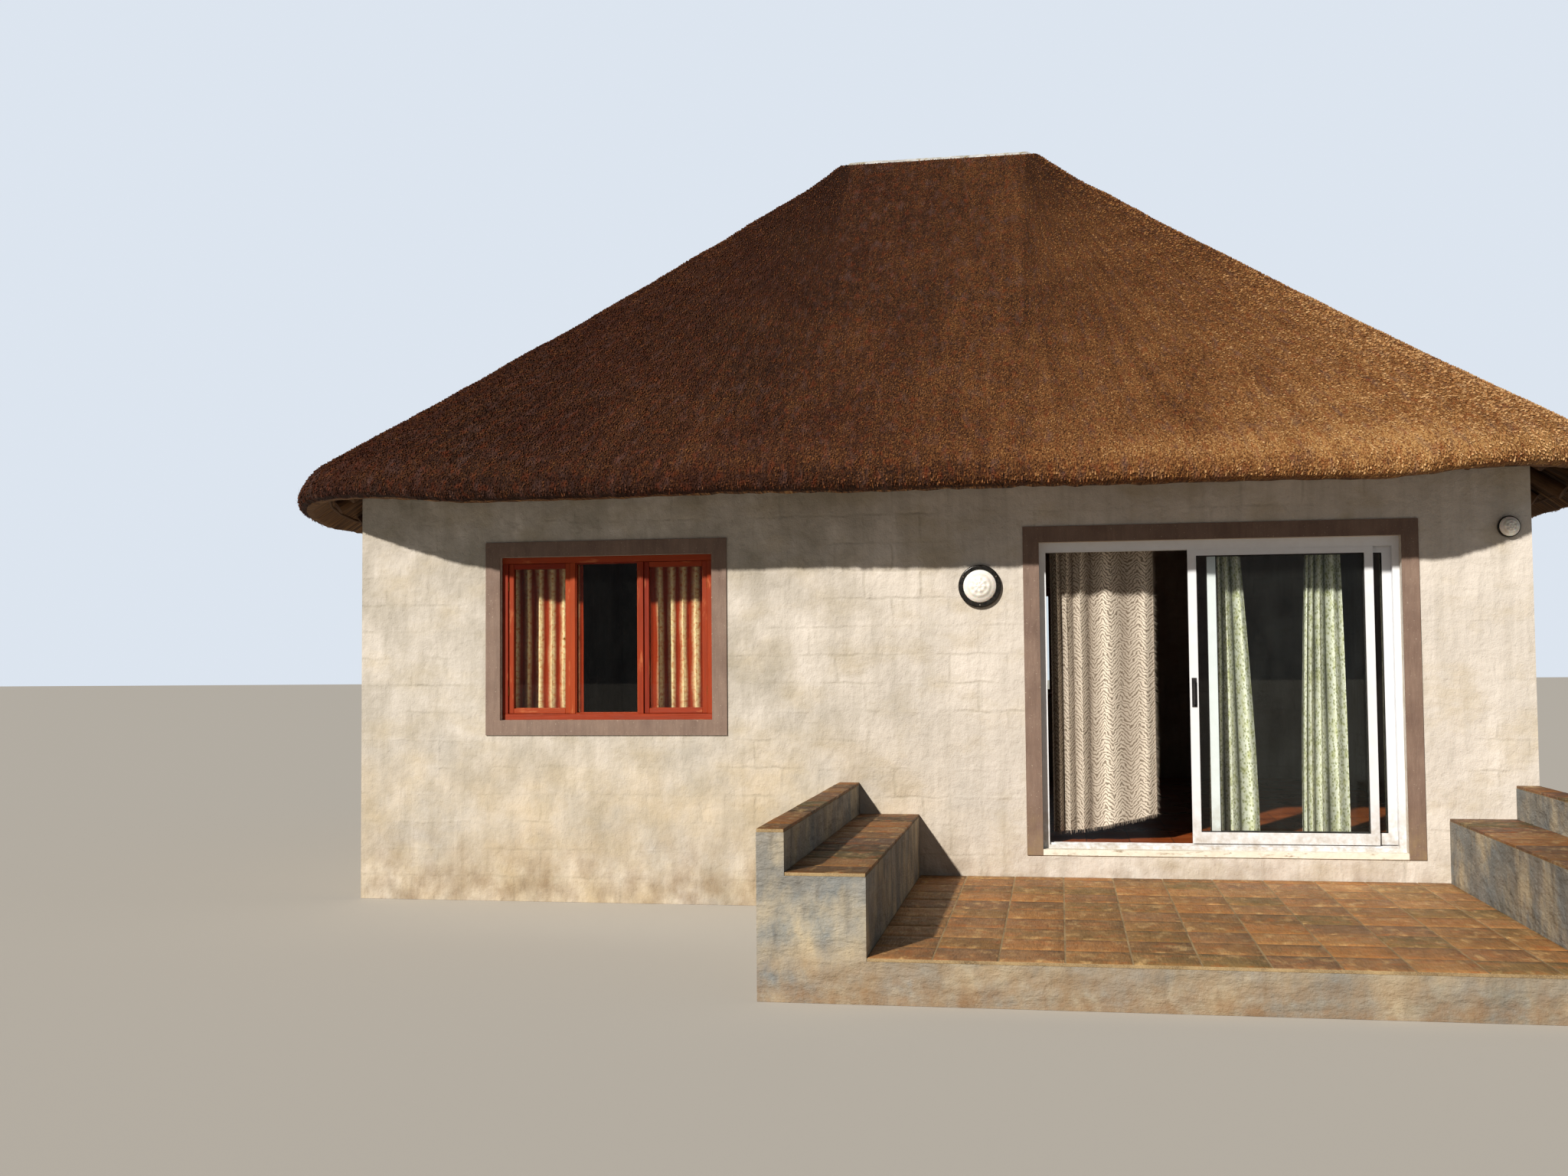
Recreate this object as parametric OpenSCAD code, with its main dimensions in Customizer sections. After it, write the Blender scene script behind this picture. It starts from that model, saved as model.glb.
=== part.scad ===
// Thatched hut: plastered masonry walls, hipped thatch with rounded plan corners on poles,
// a sliding glass door, timber windows, and a tiled stoep between two built-in seats.
// Millimetres. The origin is at ground level under the middle of the house.
// The front faces -Y, +X runs along the front to the right, and +Z is up.

/* [House] */
// Outside length of the house along its front
house_l = 8250; // [8000:10:8800]
// Outside width of the house from front to back
house_w = 6600; // [6200:10:7200]
// Thickness of the outer walls
wall_t = 220; // [190:5:260]
// Height of the floor inside above the ground
floor_h = 450; // [400:5:520]

/* [Roof] */
// Reach of the thatch past the faces of the walls
overhang = 800; // [740:10:860]
// Radius of the roof's corners in plan
corner_r = 1800; // [1700:10:1900]
// Height of the thatch's upper edge at the eave
eave_h = 3060; // [3040:10:3200]
// Height of the ridge above the ground
ridge_h = 6390; // [6200:10:6600]
// Length of the straight ridge
ridge_l = 1600; // [1500:10:1800]
// Thickness of the thatch, square to its slope
thatch_t = 220; // [180:5:260]
// Depth of the rounded lip of the eave
lip_d = 110; // [90:5:130]
// Rise of the eave at the rounded corners
corner_lift = 100; // [60:5:130]
// Hollow of the upper face between eave and ridge
sag = 50; // [0:5:70]
// Half the width of the mortar capping along the ridge
cap_half_w = 150; // [120:5:190]
// Height of the capping's edge above the thatch
cap_edge = 25; // [10:1:40]
// Radius of the roll along the top of the capping
cap_roll_r = 45; // [30:1:60]

/* [Roof poles] */
// Radius of the rafter poles
rafter_r = 55; // [45:1:58]
// Radius of the ridge pole
ridge_pole_r = 70; // [60:1:80]
// Length of the ridge pole past each end of the ridge
ridge_pole_past = 100; // [60:5:110]
// Distance of the rafters' tails behind the edge of the eave
tail_d = 260; // [220:5:320]
// Rafter bays along the straight part of the front and back slopes
front_bays = 9; // [9:2:9]
// Rafter bays along the straight part of the end slopes
end_bays = 7; // [7:2:7]
// Distance from the ridge's end at which the hips and every fourth rafter stop
stop_near = 270; // [265:5:300]
// Distance at which the rafters halfway between those stop
stop_mid = 500; // [480:5:600]
// Distance at which all other fanned rafters stop
stop_far = 980; // [970:5:1100]
// Width of the wall plates
plate_w = 110; // [90:5:120]
// Height of the wall plates
plate_h = 100; // [95:1:110]
// Distance from a house corner at which the wall top starts to fall to it
shoulder = 775; // [740:5:790]

/* [Windows] */
// Width of each window opening
window_w = 1600; // [1500:10:1700]
// Height of each window opening
window_h = 1200; // [1100:10:1250]
// Height of the window sills above the floor
sill_h = 870; // [820:10:920]
// Distance of the front window from the house's left corner
window_from_corner = 1090; // [1000:10:1200]
// Distance of each back window's middle from the middle of the wall
back_window_x = 1240; // [1150:10:1280]
// Width of the frame's outer members
frame_face = 45; // [40:1:60]
// Width of the mullions between the lights
mullion_w = 40; // [36:1:50]
// Depth of the window frame
frame_d = 70; // [60:1:80]
// Distance of the window frame behind the wall's face
frame_recess = 40; // [30:1:60]
// Width of the stiles and rails of a sash
sash_face = 38; // [34:1:45]
// Depth of a sash
sash_d = 40; // [36:1:44]
// Overlap of a rebate on its glass
rebate = 8; // [6:1:10]
// Thickness of the window panes
pane_t = 4; // [3:1:6]

/* [Surrounds] */
// Width of the plaster bands round door and windows
band_w = 110; // [90:5:130]
// Height of the bands above the wall's face
band_t = 12; // [8:1:18]

/* [Door] */
// Width of the door opening
door_w = 2400; // [2300:10:2480]
// Height of the door opening above the floor
door_h = 2100; // [2050:10:2130]
// Width of the wall between the door and the house's right corner
pier_w = 825; // [800:5:900]
// Distance of the door frame behind the wall's face
door_recess = 70; // [60:1:90]
// Width of the door frame's jambs and head
jamb_face = 45; // [40:1:55]
// Height of the frame's bottom member, whose top is level with the floor
track_h = 25; // [20:1:30]
// Height of the white sill under the frame
door_sill_h = 40; // [30:1:50]
// Reach of the sill past the wall's face
door_sill_past = 10; // [5:1:20]
// Thickness of a door panel
panel_t = 28; // [26:1:34]
// Running clearance of the sliding panel
run_gap = 5.5; // [5.2:0.1:7]
// Thickness of the guide fins along head and bottom
fin_t = 2.5; // [2:0.5:4]
// Thickness of the fin between the two panels
mid_fin_t = 4; // [3:0.5:6]
// Depth of the guide fins below the head
fin_h = 20; // [16:1:26]
// Width of the rib that the rollers run on
rib_w = 4; // [3:0.5:5]
// Height of the rib above the bottom member
rib_h = 12; // [10:1:14]
// Width of the sliding panel
slide_w = 1222; // [1200:1:1240]
// Width of the fixed panel
fixed_w = 1210; // [1200:1:1230]
// Distance of the sliding panel from the left jamb as it stands, partly open
slide_open = 967; // [900:1:1000]
// Width of the panels' stiles
stile_w = 58; // [50:1:65]
// Height of the panels' top rails
top_rail_h = 58; // [50:1:65]
// Height of the panels' bottom rails
bottom_rail_h = 78; // [70:1:90]
// Thickness of the door glass
door_glass_t = 6; // [5:1:8]
// Radius of the rollers
roller_r = 12; // [11:0.5:13]
// Thickness of the rollers
roller_t = 7; // [6:0.5:8]
// Radius of the rollers' axles
axle_r = 3; // [2.5:0.5:4]
// Distance of each roller from its end of the panel
roller_inset = 160; // [120:5:220]
// Height of the pull handle
handle_h = 200; // [160:5:240]
// Height of the handle's middle above the floor
handle_z = 1050; // [1000:10:1100]
// Width of the handle's back plate
handle_w = 32; // [26:1:40]
// Reach of the handle from the panel
handle_out = 34; // [28:1:40]

/* [Stoep and seats] */
// Length of the stoep along the front
stoep_l = 4645; // [4600:5:4700]
// Depth of the stoep in front of the house
stoep_d = 3100; // [2900:10:3300]
// Height of the stoep's tiled top above the ground
stoep_h = 235; // [215:1:260]
// Thickness of the tiles
tile_t = 20; // [15:1:25]
// Width of the seats
seat_w = 420; // [400:5:440]
// Width of the low walls behind the seats
seat_back_w = 145; // [130:5:160]
// Height of the seats above the stoep
seat_h = 425; // [400:5:450]
// Height of the low walls above the stoep
seat_back_h = 645; // [600:5:680]

/* [Curtains] */
// Radius of the curtain rails
rail_r = 10; // [8:1:12]
// Height of the rails above door and window heads
rail_up = 70; // [60:5:90]
// Distance of the rails from the wall's inner face
rail_off = 85; // [80:5:100]
// Thickness of the cloth as a solid
cloth_t = 6; // [4:1:8]
// Half the depth of the pleats
pleat_d = 22; // [16:1:24]
// Width of one pleat
pleat_w = 115; // [100:5:130]
// Width of the cream curtain in the open doorway
cream_w = 720; // [650:10:780]

/* [Lights] */
// Distance of the ring light from the door's left edge
ring_light_x = 410; // [330:5:450]
// Height of the ring light above the floor
ring_light_z = 1800; // [1700:10:1850]
// Radius of the ring light's base
ring_light_r = 150; // [140:1:160]
// Radius of the ring light's dome
ring_dome_r = 115; // [105:1:120]
// Distance of the small light from the house's right corner
small_light_x = 145; // [110:5:200]
// Height of the small light above the floor
small_light_z = 2140; // [2000:10:2200]
// Radius of the small light's base
small_light_r = 72; // [68:1:80]
// Radius of the small light's dome
small_dome_r = 65; // [58:1:66]
// Thickness of the lights' bases
light_base_t = 32; // [26:1:40]
// Height of the domes above their bases
dome_out = 55; // [45:1:65]

/* [Hidden] */

// Clearance at a seat between two pieces that only rest on each other
seat = 0.3;
// Facets of a roof corner's quarter circle, a multiple of four
arc_steps = 8;
// Steps of the thatch's profile up the slope
slope_steps = 7;
// Steps of the eave's rounded lip
lip_steps = 8;
// Steps along one pleat of a curtain
pleat_steps = 8;
$fn = 48;

// Reach of the eave from the middle of the house, along X and along Y
eave_x = house_l / 2 + overhang;
eave_y = house_w / 2 + overhang;
ridge_x = ridge_l / 2;
front_pitch = atan((ridge_h - eave_h) / eave_y);
end_pitch = atan((ridge_h - eave_h) / (eave_x - ridge_x));
thatch_v = thatch_t / cos(front_pitch);
// Share of the way up the slope at which the thatch meets the capping
s_end = 1 - cap_half_w / eave_y;
half_arc = arc_steps / 2;
// Depth of a rafter's axis below the thatch
rafter_off = rafter_r / cos(45 / arc_steps) + seat;

// Front wall's face, and its openings
front_y = -house_w / 2;
door_x1 = house_l / 2 - pier_w;
door_x0 = door_x1 - door_w;
door_top = floor_h + door_h;
door_bottom = floor_h - track_h - door_sill_h;
window_x0 = -house_l / 2 + window_from_corner;
window_z = floor_h + sill_h;
light_clear = (window_w - 2 * frame_face - 2 * mullion_w) / 3;

// Door frame, from its front: fin, gap, outer panel, gap, fin, gap, inner panel, gap, fin
door_frame_y = front_y + door_recess;
outer_panel_y = door_frame_y + fin_t + run_gap;
mid_fin_y = outer_panel_y + panel_t + run_gap;
inner_panel_y = mid_fin_y + mid_fin_t + run_gap;
door_frame_d = inner_panel_y + panel_t + run_gap + fin_t - door_frame_y;
panel_z0 = floor_h + rib_h + run_gap;
panel_z1 = door_top - jamb_face - run_gap;
slide_x0 = door_x0 + jamb_face + slide_open;
fixed_x0 = door_x1 - jamb_face - seat - fixed_w;
glass_in = 12;

// Stoep and seats, from left to right
stoep_x1 = house_l / 2;
stoep_x0 = stoep_x1 - stoep_l;
stoep_y0 = front_y - stoep_d;
left_seat_x = stoep_x0 + seat_back_w;
right_seat_x = stoep_x1 - seat_back_w - seat_w;

// Curtain rails
inner_y = front_y + wall_t;
rail_y = inner_y + rail_off;
door_rail_z = door_top + rail_up;
window_rail_z = window_z + window_h + rail_up;

// Height of the thatch's upper face and of its underside. The share s runs from the eave (0)
// to the ridge (1), and k says how far round a corner the place is, from 0 to 1.
function eave_z(k) = eave_h + corner_lift * k;
function top_z(s, k) = eave_z(k) + (ridge_h - eave_z(k)) * s - 4 * sag * s * (1 - s);
function under_z(s, k) = eave_z(k) + (ridge_h - eave_z(k)) * s - thatch_v;

// Outline of the eave over one slope that faces -Y, from hip to hip, as [x, y, k].
// a is half its length and b its distance from the middle of the house.
function arc_point(a, b, t) = [
    a - corner_r + corner_r * cos(t),
    corner_r - b + corner_r * sin(t),
    abs(sin(2 * t))];
function right_arc(a, b) = [for (i = [0 : half_arc]) arc_point(a, b, -90 + 45 * i / half_arc)];
function left_arc(a, b) = [for (i = [half_arc : -1 : 0]) let (p = right_arc(a, b)[i]) [-p[0], p[1], p[2]]];
function straight(a, b, bays) = [for (i = [1 : bays - 1]) [(a - corner_r) * (2 * i / bays - 1), -b, 0]];
function outline(a, b, bays) = concat(left_arc(a, b), straight(a, b, bays), right_arc(a, b));

// Foot of each outline point on the ridge, for a long slope and for an end slope
function ridge_foot(p) = [max(-ridge_x, min(ridge_x, p[0])), 0];
function long_feet(pts) = [for (p = pts) ridge_foot(p)];
function end_feet(pts) = [for (p = pts) [0, -ridge_x]];

// Lines that run up the slope from an outline point p to its foot q
function run(p, q) = norm([q[0] - p[0], q[1] - p[1]]);
function on_line(p, q, s, z) = [p[0] + (q[0] - p[0]) * s, p[1] + (q[1] - p[1]) * s, z];
function under_point(p, q, s) = on_line(p, q, s, under_z(s, p[2]));

// Section of the thatch along one such line: down the upper face, round the lip, up the underside
function section(p, q) =
    let (
        s_lip = lip_d / run(p, q),
        z_top = top_z(s_lip, p[2]),
        z_low = under_z(s_lip, p[2]),
        z_mid = (z_top + z_low) / 2
    )
    concat(
        [for (i = [0 : slope_steps])
            let (s = s_end + (s_lip - s_end) * i / slope_steps)
            on_line(p, q, s, top_z(s, p[2]))],
        [for (j = [1 : lip_steps - 1])
            let (t = 90 + 180 * j / lip_steps)
            on_line(p, q, s_lip * (1 + cos(t)), z_mid + (z_top - z_mid) * sin(t))],
        [under_point(p, q, s_lip), under_point(p, q, s_end)]);

// One slope of thatch, lofted through its sections
module thatch_slope(pts, feet) {
    n = len(pts);
    m = slope_steps + lip_steps + 2;
    // The slope's two ends stand back a little from the hips that it shares with its neighbours
    back = [for (i = [0 : n - 1]) i == 0 ? seat / 2 : i == n - 1 ? -seat / 2 : 0];
    points = [for (i = [0 : n - 1]) each section(pts[i] + [back[i], 0, 0], feet[i] + [back[i], 0])];
    skin = [for (i = [0 : n - 2]) for (j = [0 : m - 1])
        let (a = i * m + j, b = i * m + (j + 1) % m)
        each [[a, a + m, b + m], [a, b + m, b]]];
    first_end = [for (j = [0 : m - 1]) j];
    last_end = [for (j = [m - 1 : -1 : 0]) (n - 1) * m + j];
    polyhedron(points = points, faces = concat(skin, [first_end, last_end]), convexity = 6);
}

front_line = outline(eave_x, eave_y, front_bays);
end_line = outline(eave_y, eave_x, end_bays);

// Pole from point a to point b
module pole(a, b, r) {
    d = b - a;
    translate(a)
        rotate([0, acos(d[2] / norm(d)), atan2(d[1], d[0])])
            cylinder(h = norm(d), r = r);
}

// Direction square to the underside and away from it, from the two lines beside a rafter
function down_normal(p1, q1, p2, q2, p, q) =
    let (
        across = under_point(p2, q2, 0.1) - under_point(p1, q1, 0.1),
        along = under_point(p, q, 1) - under_point(p, q, 0),
        c = cross(across, along)
    )
    -c / norm(c);

ridge_pole_z = under_z(s_end, 0) - seat - ridge_pole_r;

// Rafter under line i of a slope. One that meets the ridge between its ends runs up to the
// ridge pole, short of the capping, and one of a fan stops a given distance from the ridge's end.
module rafter(pts, feet, i, stop) {
    p = pts[i];
    q = feet[i];
    n = down_normal(pts[i - 1], feet[i - 1], pts[i + 1], feet[i + 1], p, q);
    start = under_point(p, q, tail_d / run(p, q)) + n * rafter_off;
    fan_end = under_point(p, q, 1 - stop / run(p, q)) + n * rafter_off;
    u = (fan_end - start) / norm(fan_end - start);
    to_pole = ([q[0], q[1], ridge_pole_z] - start) * u - ridge_pole_r - seat;
    to_cap = (under_point(p, q, s_end) - start) * u - seat;
    meets_ridge = q[1] == 0 && abs(q[0]) < ridge_x;
    pole(start, meets_ridge ? start + u * min(to_pole, to_cap) : fan_end, rafter_r);
}

// Place of line i in its fan, counted in rafters from the hip
function fan_place(i, n) = let (m = min(i, n - 1 - i)) m <= half_arc ? m / 2 : m - half_arc / 2;
function stop_at(place) = place % 4 == 0 ? stop_near : place % 2 == 0 ? stop_mid : stop_far;

module slope_rafters(pts, feet) {
    n = len(pts);
    for (i = [1 : n - 2])
        let (place = fan_place(i, n))
            if (place == floor(place) && place > 0)
                rafter(pts, feet, i, stop_at(place));
}

// Hip rafter at the right front corner, and its line on the roof
hip_p = arc_point(eave_x, eave_y, -45);
hip_q = [ridge_x, 0];
hip_before = arc_point(eave_x, eave_y, -45 - 45 / half_arc);
hip_after = arc_point(eave_x, eave_y, -45 + 45 / half_arc);
hip_n = down_normal(hip_before, hip_q, hip_after, hip_q, hip_p, hip_q);

module hip_rafter() {
    start = under_point(hip_p, hip_q, tail_d / run(hip_p, hip_q)) + hip_n * rafter_off;
    end = under_point(hip_p, hip_q, 1 - stop_near / run(hip_p, hip_q)) + hip_n * rafter_off;
    pole(start, end, rafter_r);
}

// Height of a plate's top where its outer edge just clears the rafters above it
function plate_top(run_y, pitch) =
    under_z((overhang + (wall_t - plate_w) / 2) / run_y, 0) - (rafter_off + rafter_r) / cos(pitch) - seat;
front_plate_top = plate_top(eave_y, front_pitch);
end_plate_top = plate_top(eave_x - ridge_x, end_pitch);
front_top = front_plate_top - plate_h;
end_top = end_plate_top - plate_h;
// Height of the walls at the house's corners, just under the hip rafters
corner_s = 1 - norm([house_l / 2 - ridge_x, house_w / 2]) / run(hip_p, hip_q);
corner_top = under_z(corner_s, 1) + (rafter_off + rafter_r) / hip_n[2] - seat;

// Upright slab with its outline in X and Z, from y to y + t
module upright(y, t) {
    translate([0, y + t, 0])
        rotate([90, 0, 0])
            linear_extrude(t)
                children();
}

// Frame round a w by h opening, drawn outside it or, with a negative width, inside it
module ring_2d(w, h, face) {
    difference() {
        square([w, h]);
        translate([face, face])
            square([w - 2 * face, h - 2 * face]);
    }
}

module floor_slab() {
    color("sienna")
        translate([-house_l / 2 + wall_t, -house_w / 2 + wall_t, 0])
            cube([house_l - 2 * wall_t, house_w - 2 * wall_t, floor_h]);
}

module front_wall_left() {
    color("oldlace")
        upright(front_y, wall_t)
            difference() {
                polygon([
                    [-house_l / 2, 0],
                    [door_x0, 0],
                    [door_x0, front_top],
                    [-house_l / 2 + shoulder, front_top],
                    [-house_l / 2 + wall_t, corner_top],
                    [-house_l / 2, corner_top]]);
                translate([window_x0, window_z])
                    square([window_w, window_h]);
            }
}

module front_wall_right() {
    color("oldlace")
        upright(front_y, wall_t)
            polygon([
                [door_x1, 0],
                [house_l / 2, 0],
                [house_l / 2, corner_top],
                [house_l / 2 - wall_t, corner_top],
                [house_l / 2 - shoulder, front_top],
                [door_x1, front_top]]);
}

module front_wall_over_door() {
    color("oldlace")
        translate([door_x0, front_y, door_top])
            cube([door_w, wall_t, front_top - door_top]);
}

module door_step() {
    color("oldlace")
        translate([door_x0, front_y, 0])
            cube([door_w, wall_t, door_bottom]);
}

module end_wall() {
    y1 = house_w / 2 - wall_t;
    color("oldlace")
        translate([house_l / 2 - wall_t, 0, 0])
            rotate([90, 0, 90])
                linear_extrude(wall_t)
                    polygon([
                        [-y1, 0],
                        [y1, 0],
                        [y1, corner_top],
                        [house_w / 2 - shoulder, end_top],
                        [shoulder - house_w / 2, end_top],
                        [-y1, corner_top]]);
}

module left_wall() {
    mirror([1, 0, 0])
        end_wall();
}

module right_wall() {
    end_wall();
}

module back_wall() {
    color("oldlace")
        upright(house_w / 2 - wall_t, wall_t)
            difference() {
                polygon([
                    [-house_l / 2, 0],
                    [house_l / 2, 0],
                    [house_l / 2, corner_top],
                    [house_l / 2 - wall_t, corner_top],
                    [house_l / 2 - shoulder, front_top],
                    [shoulder - house_l / 2, front_top],
                    [wall_t - house_l / 2, corner_top],
                    [-house_l / 2, corner_top]]);
                for (side = [-1, 1])
                    translate([side * back_window_x - window_w / 2, window_z])
                        square([window_w, window_h]);
            }
}

// Plates on the straight parts of the walls
module wall_plates() {
    long_half = eave_x - corner_r - 125;
    end_half = eave_y - corner_r - 125;
    color("peru") {
        for (side = [-1, 1])
            translate([-long_half, side * (house_w - wall_t) / 2 - plate_w / 2, front_top])
                cube([2 * long_half, plate_w, plate_h]);
        for (side = [-1, 1])
            translate([side * (house_l - wall_t) / 2 - plate_w / 2, -end_half, end_top])
                cube([plate_w, 2 * end_half, plate_h]);
    }
}

module rafters_front() {
    color("peru")
        slope_rafters(front_line, long_feet(front_line));
}

module rafters_back() {
    rotate([0, 0, 180])
        rafters_front();
}

// Rafters of the right end slope, with the two hips beside it
module rafters_right() {
    color("peru") {
        rotate([0, 0, 90])
            slope_rafters(end_line, end_feet(end_line));
        hip_rafter();
        mirror([0, 1, 0])
            hip_rafter();
    }
}

module rafters_left() {
    rotate([0, 0, 180])
        rafters_right();
}

module ridge_pole() {
    color("peru")
        translate([-ridge_x - ridge_pole_past, 0, ridge_pole_z])
            rotate([0, 90, 0])
                cylinder(h = ridge_l + 2 * ridge_pole_past, r = ridge_pole_r);
}

module thatch_front() {
    color("saddlebrown")
        thatch_slope(front_line, long_feet(front_line));
}

module thatch_back() {
    rotate([0, 0, 180])
        thatch_front();
}

module thatch_right() {
    color("saddlebrown")
        rotate([0, 0, 90])
            thatch_slope(end_line, end_feet(end_line));
}

module thatch_left() {
    rotate([0, 0, 180])
        thatch_right();
}

// Mortar capping, which fills the slot that the thatch leaves along the ridge
module ridge_cap() {
    half_slot = [for (p = front_line) on_line(p, ridge_foot(p), s_end, 0)];
    slot = concat(
        [for (p = half_slot) [p[0], p[1]]],
        [for (p = [for (i = [0 : len(end_line) - 1]) end_line[i]])
            let (e = on_line(p, [0, -ridge_x], s_end, 0)) [-e[1], e[0]]],
        [for (p = half_slot) [-p[0], -p[1]]],
        [for (p = end_line) let (e = on_line(p, [0, -ridge_x], s_end, 0)) [e[1], -e[0]]]);
    bottom = under_z(s_end, 0);
    edge = top_z(s_end, 0) + cap_edge;
    color("lightgray")
        hull() {
            translate([0, 0, bottom])
                linear_extrude(edge - bottom)
                    offset(delta = -seat)
                        polygon(slot);
            for (side = [-1, 1])
                translate([side * ridge_x, 0, ridge_h - cap_roll_r])
                    sphere(r = cap_roll_r, $fn = 24);
        }
}

// The front window and the two back ones, each drawn with its lower left corner at the origin
module every_window() {
    translate([window_x0, front_y, window_z])
        children();
    for (side = [-1, 1])
        rotate([0, 0, 180])
            translate([side * back_window_x - window_w / 2, front_y, window_z])
                children();
}

function light_x(i) = frame_face + i * (light_clear + mullion_w);

// Frame with two mullions. The middle light is fixed and has a rebate for its pane.
module window_frame() {
    clear_h = window_h - 2 * frame_face;
    difference() {
        upright(frame_recess, frame_d)
            square([window_w, window_h]);
        for (i = [0, 2])
            translate([light_x(i), frame_recess - 1, frame_face])
                cube([light_clear, frame_d + 2, clear_h]);
        translate([light_x(1) + rebate, frame_recess - 1, frame_face + rebate])
            cube([light_clear - 2 * rebate, frame_d + 2, clear_h - 2 * rebate]);
        translate([light_x(1), frame_recess + frame_d / 2, frame_face])
            cube([light_clear, frame_d, clear_h]);
    }
}

module window_frames() {
    color("chocolate")
        every_window()
            window_frame();
}

// Casement sash: a front rim that overlaps the glass, and a wider opening behind it
module sash(w, h) {
    rim_d = sash_d / 2;
    upright(0, rim_d)
        ring_2d(w, h, sash_face);
    upright(rim_d, sash_d - rim_d)
        ring_2d(w, h, sash_face - rebate);
}

sash_y = frame_recess + (frame_d - sash_d) / 2;
sash_w = light_clear - 2 * seat;
sash_h = window_h - 2 * frame_face - 2 * seat;

module window_sashes() {
    color("chocolate")
        every_window()
            for (i = [0, 2])
                translate([light_x(i) + seat, sash_y, frame_face + seat])
                    sash(sash_w, sash_h);
}

// Panes, each behind the rim of its sash or rebate
module window_glass() {
    side_in = sash_face - rebate + seat;
    color("lightblue", 0.4)
        every_window() {
            for (i = [0, 2])
                translate([light_x(i) + seat + side_in, sash_y + sash_d / 2 + seat, frame_face + seat + side_in])
                    cube([sash_w - 2 * side_in, pane_t, sash_h - 2 * side_in]);
            translate([light_x(1) + seat, frame_recess + frame_d / 2 + seat, frame_face + seat])
                cube([light_clear - 2 * seat, pane_t, window_h - 2 * frame_face - 2 * seat]);
        }
}

module window_bands() {
    color("tan")
        every_window()
            upright(-band_t, band_t)
                difference() {
                    translate([-band_w, -band_w])
                        square([window_w + 2 * band_w, window_h + 2 * band_w]);
                    square([window_w, window_h]);
                }
}

module door_band() {
    color("tan")
        upright(front_y - band_t, band_t)
            difference() {
                translate([door_x0 - band_w, door_bottom])
                    square([door_w + 2 * band_w, door_top + band_w - door_bottom]);
                translate([door_x0, door_bottom - 1])
                    square([door_w, door_top - door_bottom + 1]);
            }
}

module door_sill() {
    color("white")
        translate([door_x0, front_y - door_sill_past, door_bottom])
            cube([door_w, wall_t + door_sill_past, door_sill_h]);
}

// Frame of the sliding door, with guide fins under its head and rails along its bottom member
module door_frame() {
    z0 = floor_h - track_h;
    rib_z = floor_h - 1;
    outer_mid = outer_panel_y + panel_t / 2;
    inner_mid = inner_panel_y + panel_t / 2;
    color("whitesmoke") {
        upright(door_frame_y, door_frame_d)
            difference() {
                translate([door_x0, z0])
                    square([door_w, door_top - z0]);
                translate([door_x0 + jamb_face, floor_h])
                    square([door_w - 2 * jamb_face, door_top - jamb_face - floor_h]);
            }
        for (fin = [[door_frame_y, fin_t], [mid_fin_y, mid_fin_t], [door_frame_y + door_frame_d - fin_t, fin_t]])
            translate([door_x0 + jamb_face - 1, fin[0], door_top - jamb_face - fin_h])
                cube([door_w - 2 * jamb_face + 2, fin[1], fin_h + 1]);
        for (y = [outer_mid, inner_mid])
            translate([door_x0 + jamb_face - 1, y - rib_w / 2, rib_z])
                cube([door_w - 2 * jamb_face + 2, rib_w, rib_h + 1]);
    }
}

// Stiles and rails of a door panel of width w, with a groove for its glass
module panel(w) {
    h = panel_z1 - panel_z0;
    difference() {
        cube([w, panel_t, h]);
        translate([stile_w, -1, bottom_rail_h])
            cube([w - 2 * stile_w, panel_t + 2, h - bottom_rail_h - top_rail_h]);
        translate([stile_w - glass_in, (panel_t - door_glass_t) / 2 - seat, bottom_rail_h - glass_in])
            cube([
                w - 2 * stile_w + 2 * glass_in,
                door_glass_t + 2 * seat,
                h - bottom_rail_h - top_rail_h + 2 * glass_in]);
    }
}

module panel_glass(w) {
    h = panel_z1 - panel_z0;
    translate([stile_w - glass_in + seat, (panel_t - door_glass_t) / 2, bottom_rail_h - glass_in + seat])
        cube([
            w - 2 * stile_w + 2 * glass_in - 2 * seat,
            door_glass_t,
            h - bottom_rail_h - top_rail_h + 2 * glass_in - 2 * seat]);
}

// Fixed panel, which stands on the inner rib on two blocks
module fixed_panel() {
    block_h = panel_z0 - floor_h - rib_h - seat;
    color("whitesmoke")
        translate([fixed_x0, inner_panel_y, panel_z0]) {
            panel(fixed_w);
            for (x = [roller_inset, fixed_w - roller_inset])
                translate([x - 30, panel_t / 2 - 5, -block_h])
                    cube([60, 10, block_h + 1]);
        }
}

module fixed_glass() {
    color("lightblue", 0.4)
        translate([fixed_x0, inner_panel_y, panel_z0])
            panel_glass(fixed_w);
}

roller_z = floor_h + rib_h + seat + roller_r;
roller_places = [roller_inset, slide_w - roller_inset];

// Sliding panel, with a pocket round each roller in its bottom rail
module sliding_panel() {
    pocket_l = 2 * roller_r + 8;
    pocket_h = roller_z + roller_r + 4 - panel_z0;
    pocket_w = roller_t + 3;
    color("whitesmoke")
        translate([slide_x0, outer_panel_y, panel_z0])
            difference() {
                panel(slide_w);
                for (x = roller_places)
                    translate([x - pocket_l / 2, (panel_t - pocket_w) / 2, -1])
                        cube([pocket_l, pocket_w, pocket_h + 1]);
            }
}

module sliding_glass() {
    color("lightblue", 0.4)
        translate([slide_x0, outer_panel_y, panel_z0])
            panel_glass(slide_w);
}

// Rollers on short axles that bear on the sides of their pockets
module door_rollers() {
    color("dimgray")
        for (x = roller_places)
            translate([slide_x0 + x, outer_panel_y + panel_t / 2, roller_z])
                rotate([90, 0, 0]) {
                    cylinder(h = roller_t, r = roller_r, center = true);
                    cylinder(h = roller_t + 3, r = axle_r, center = true);
                }
}

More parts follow.
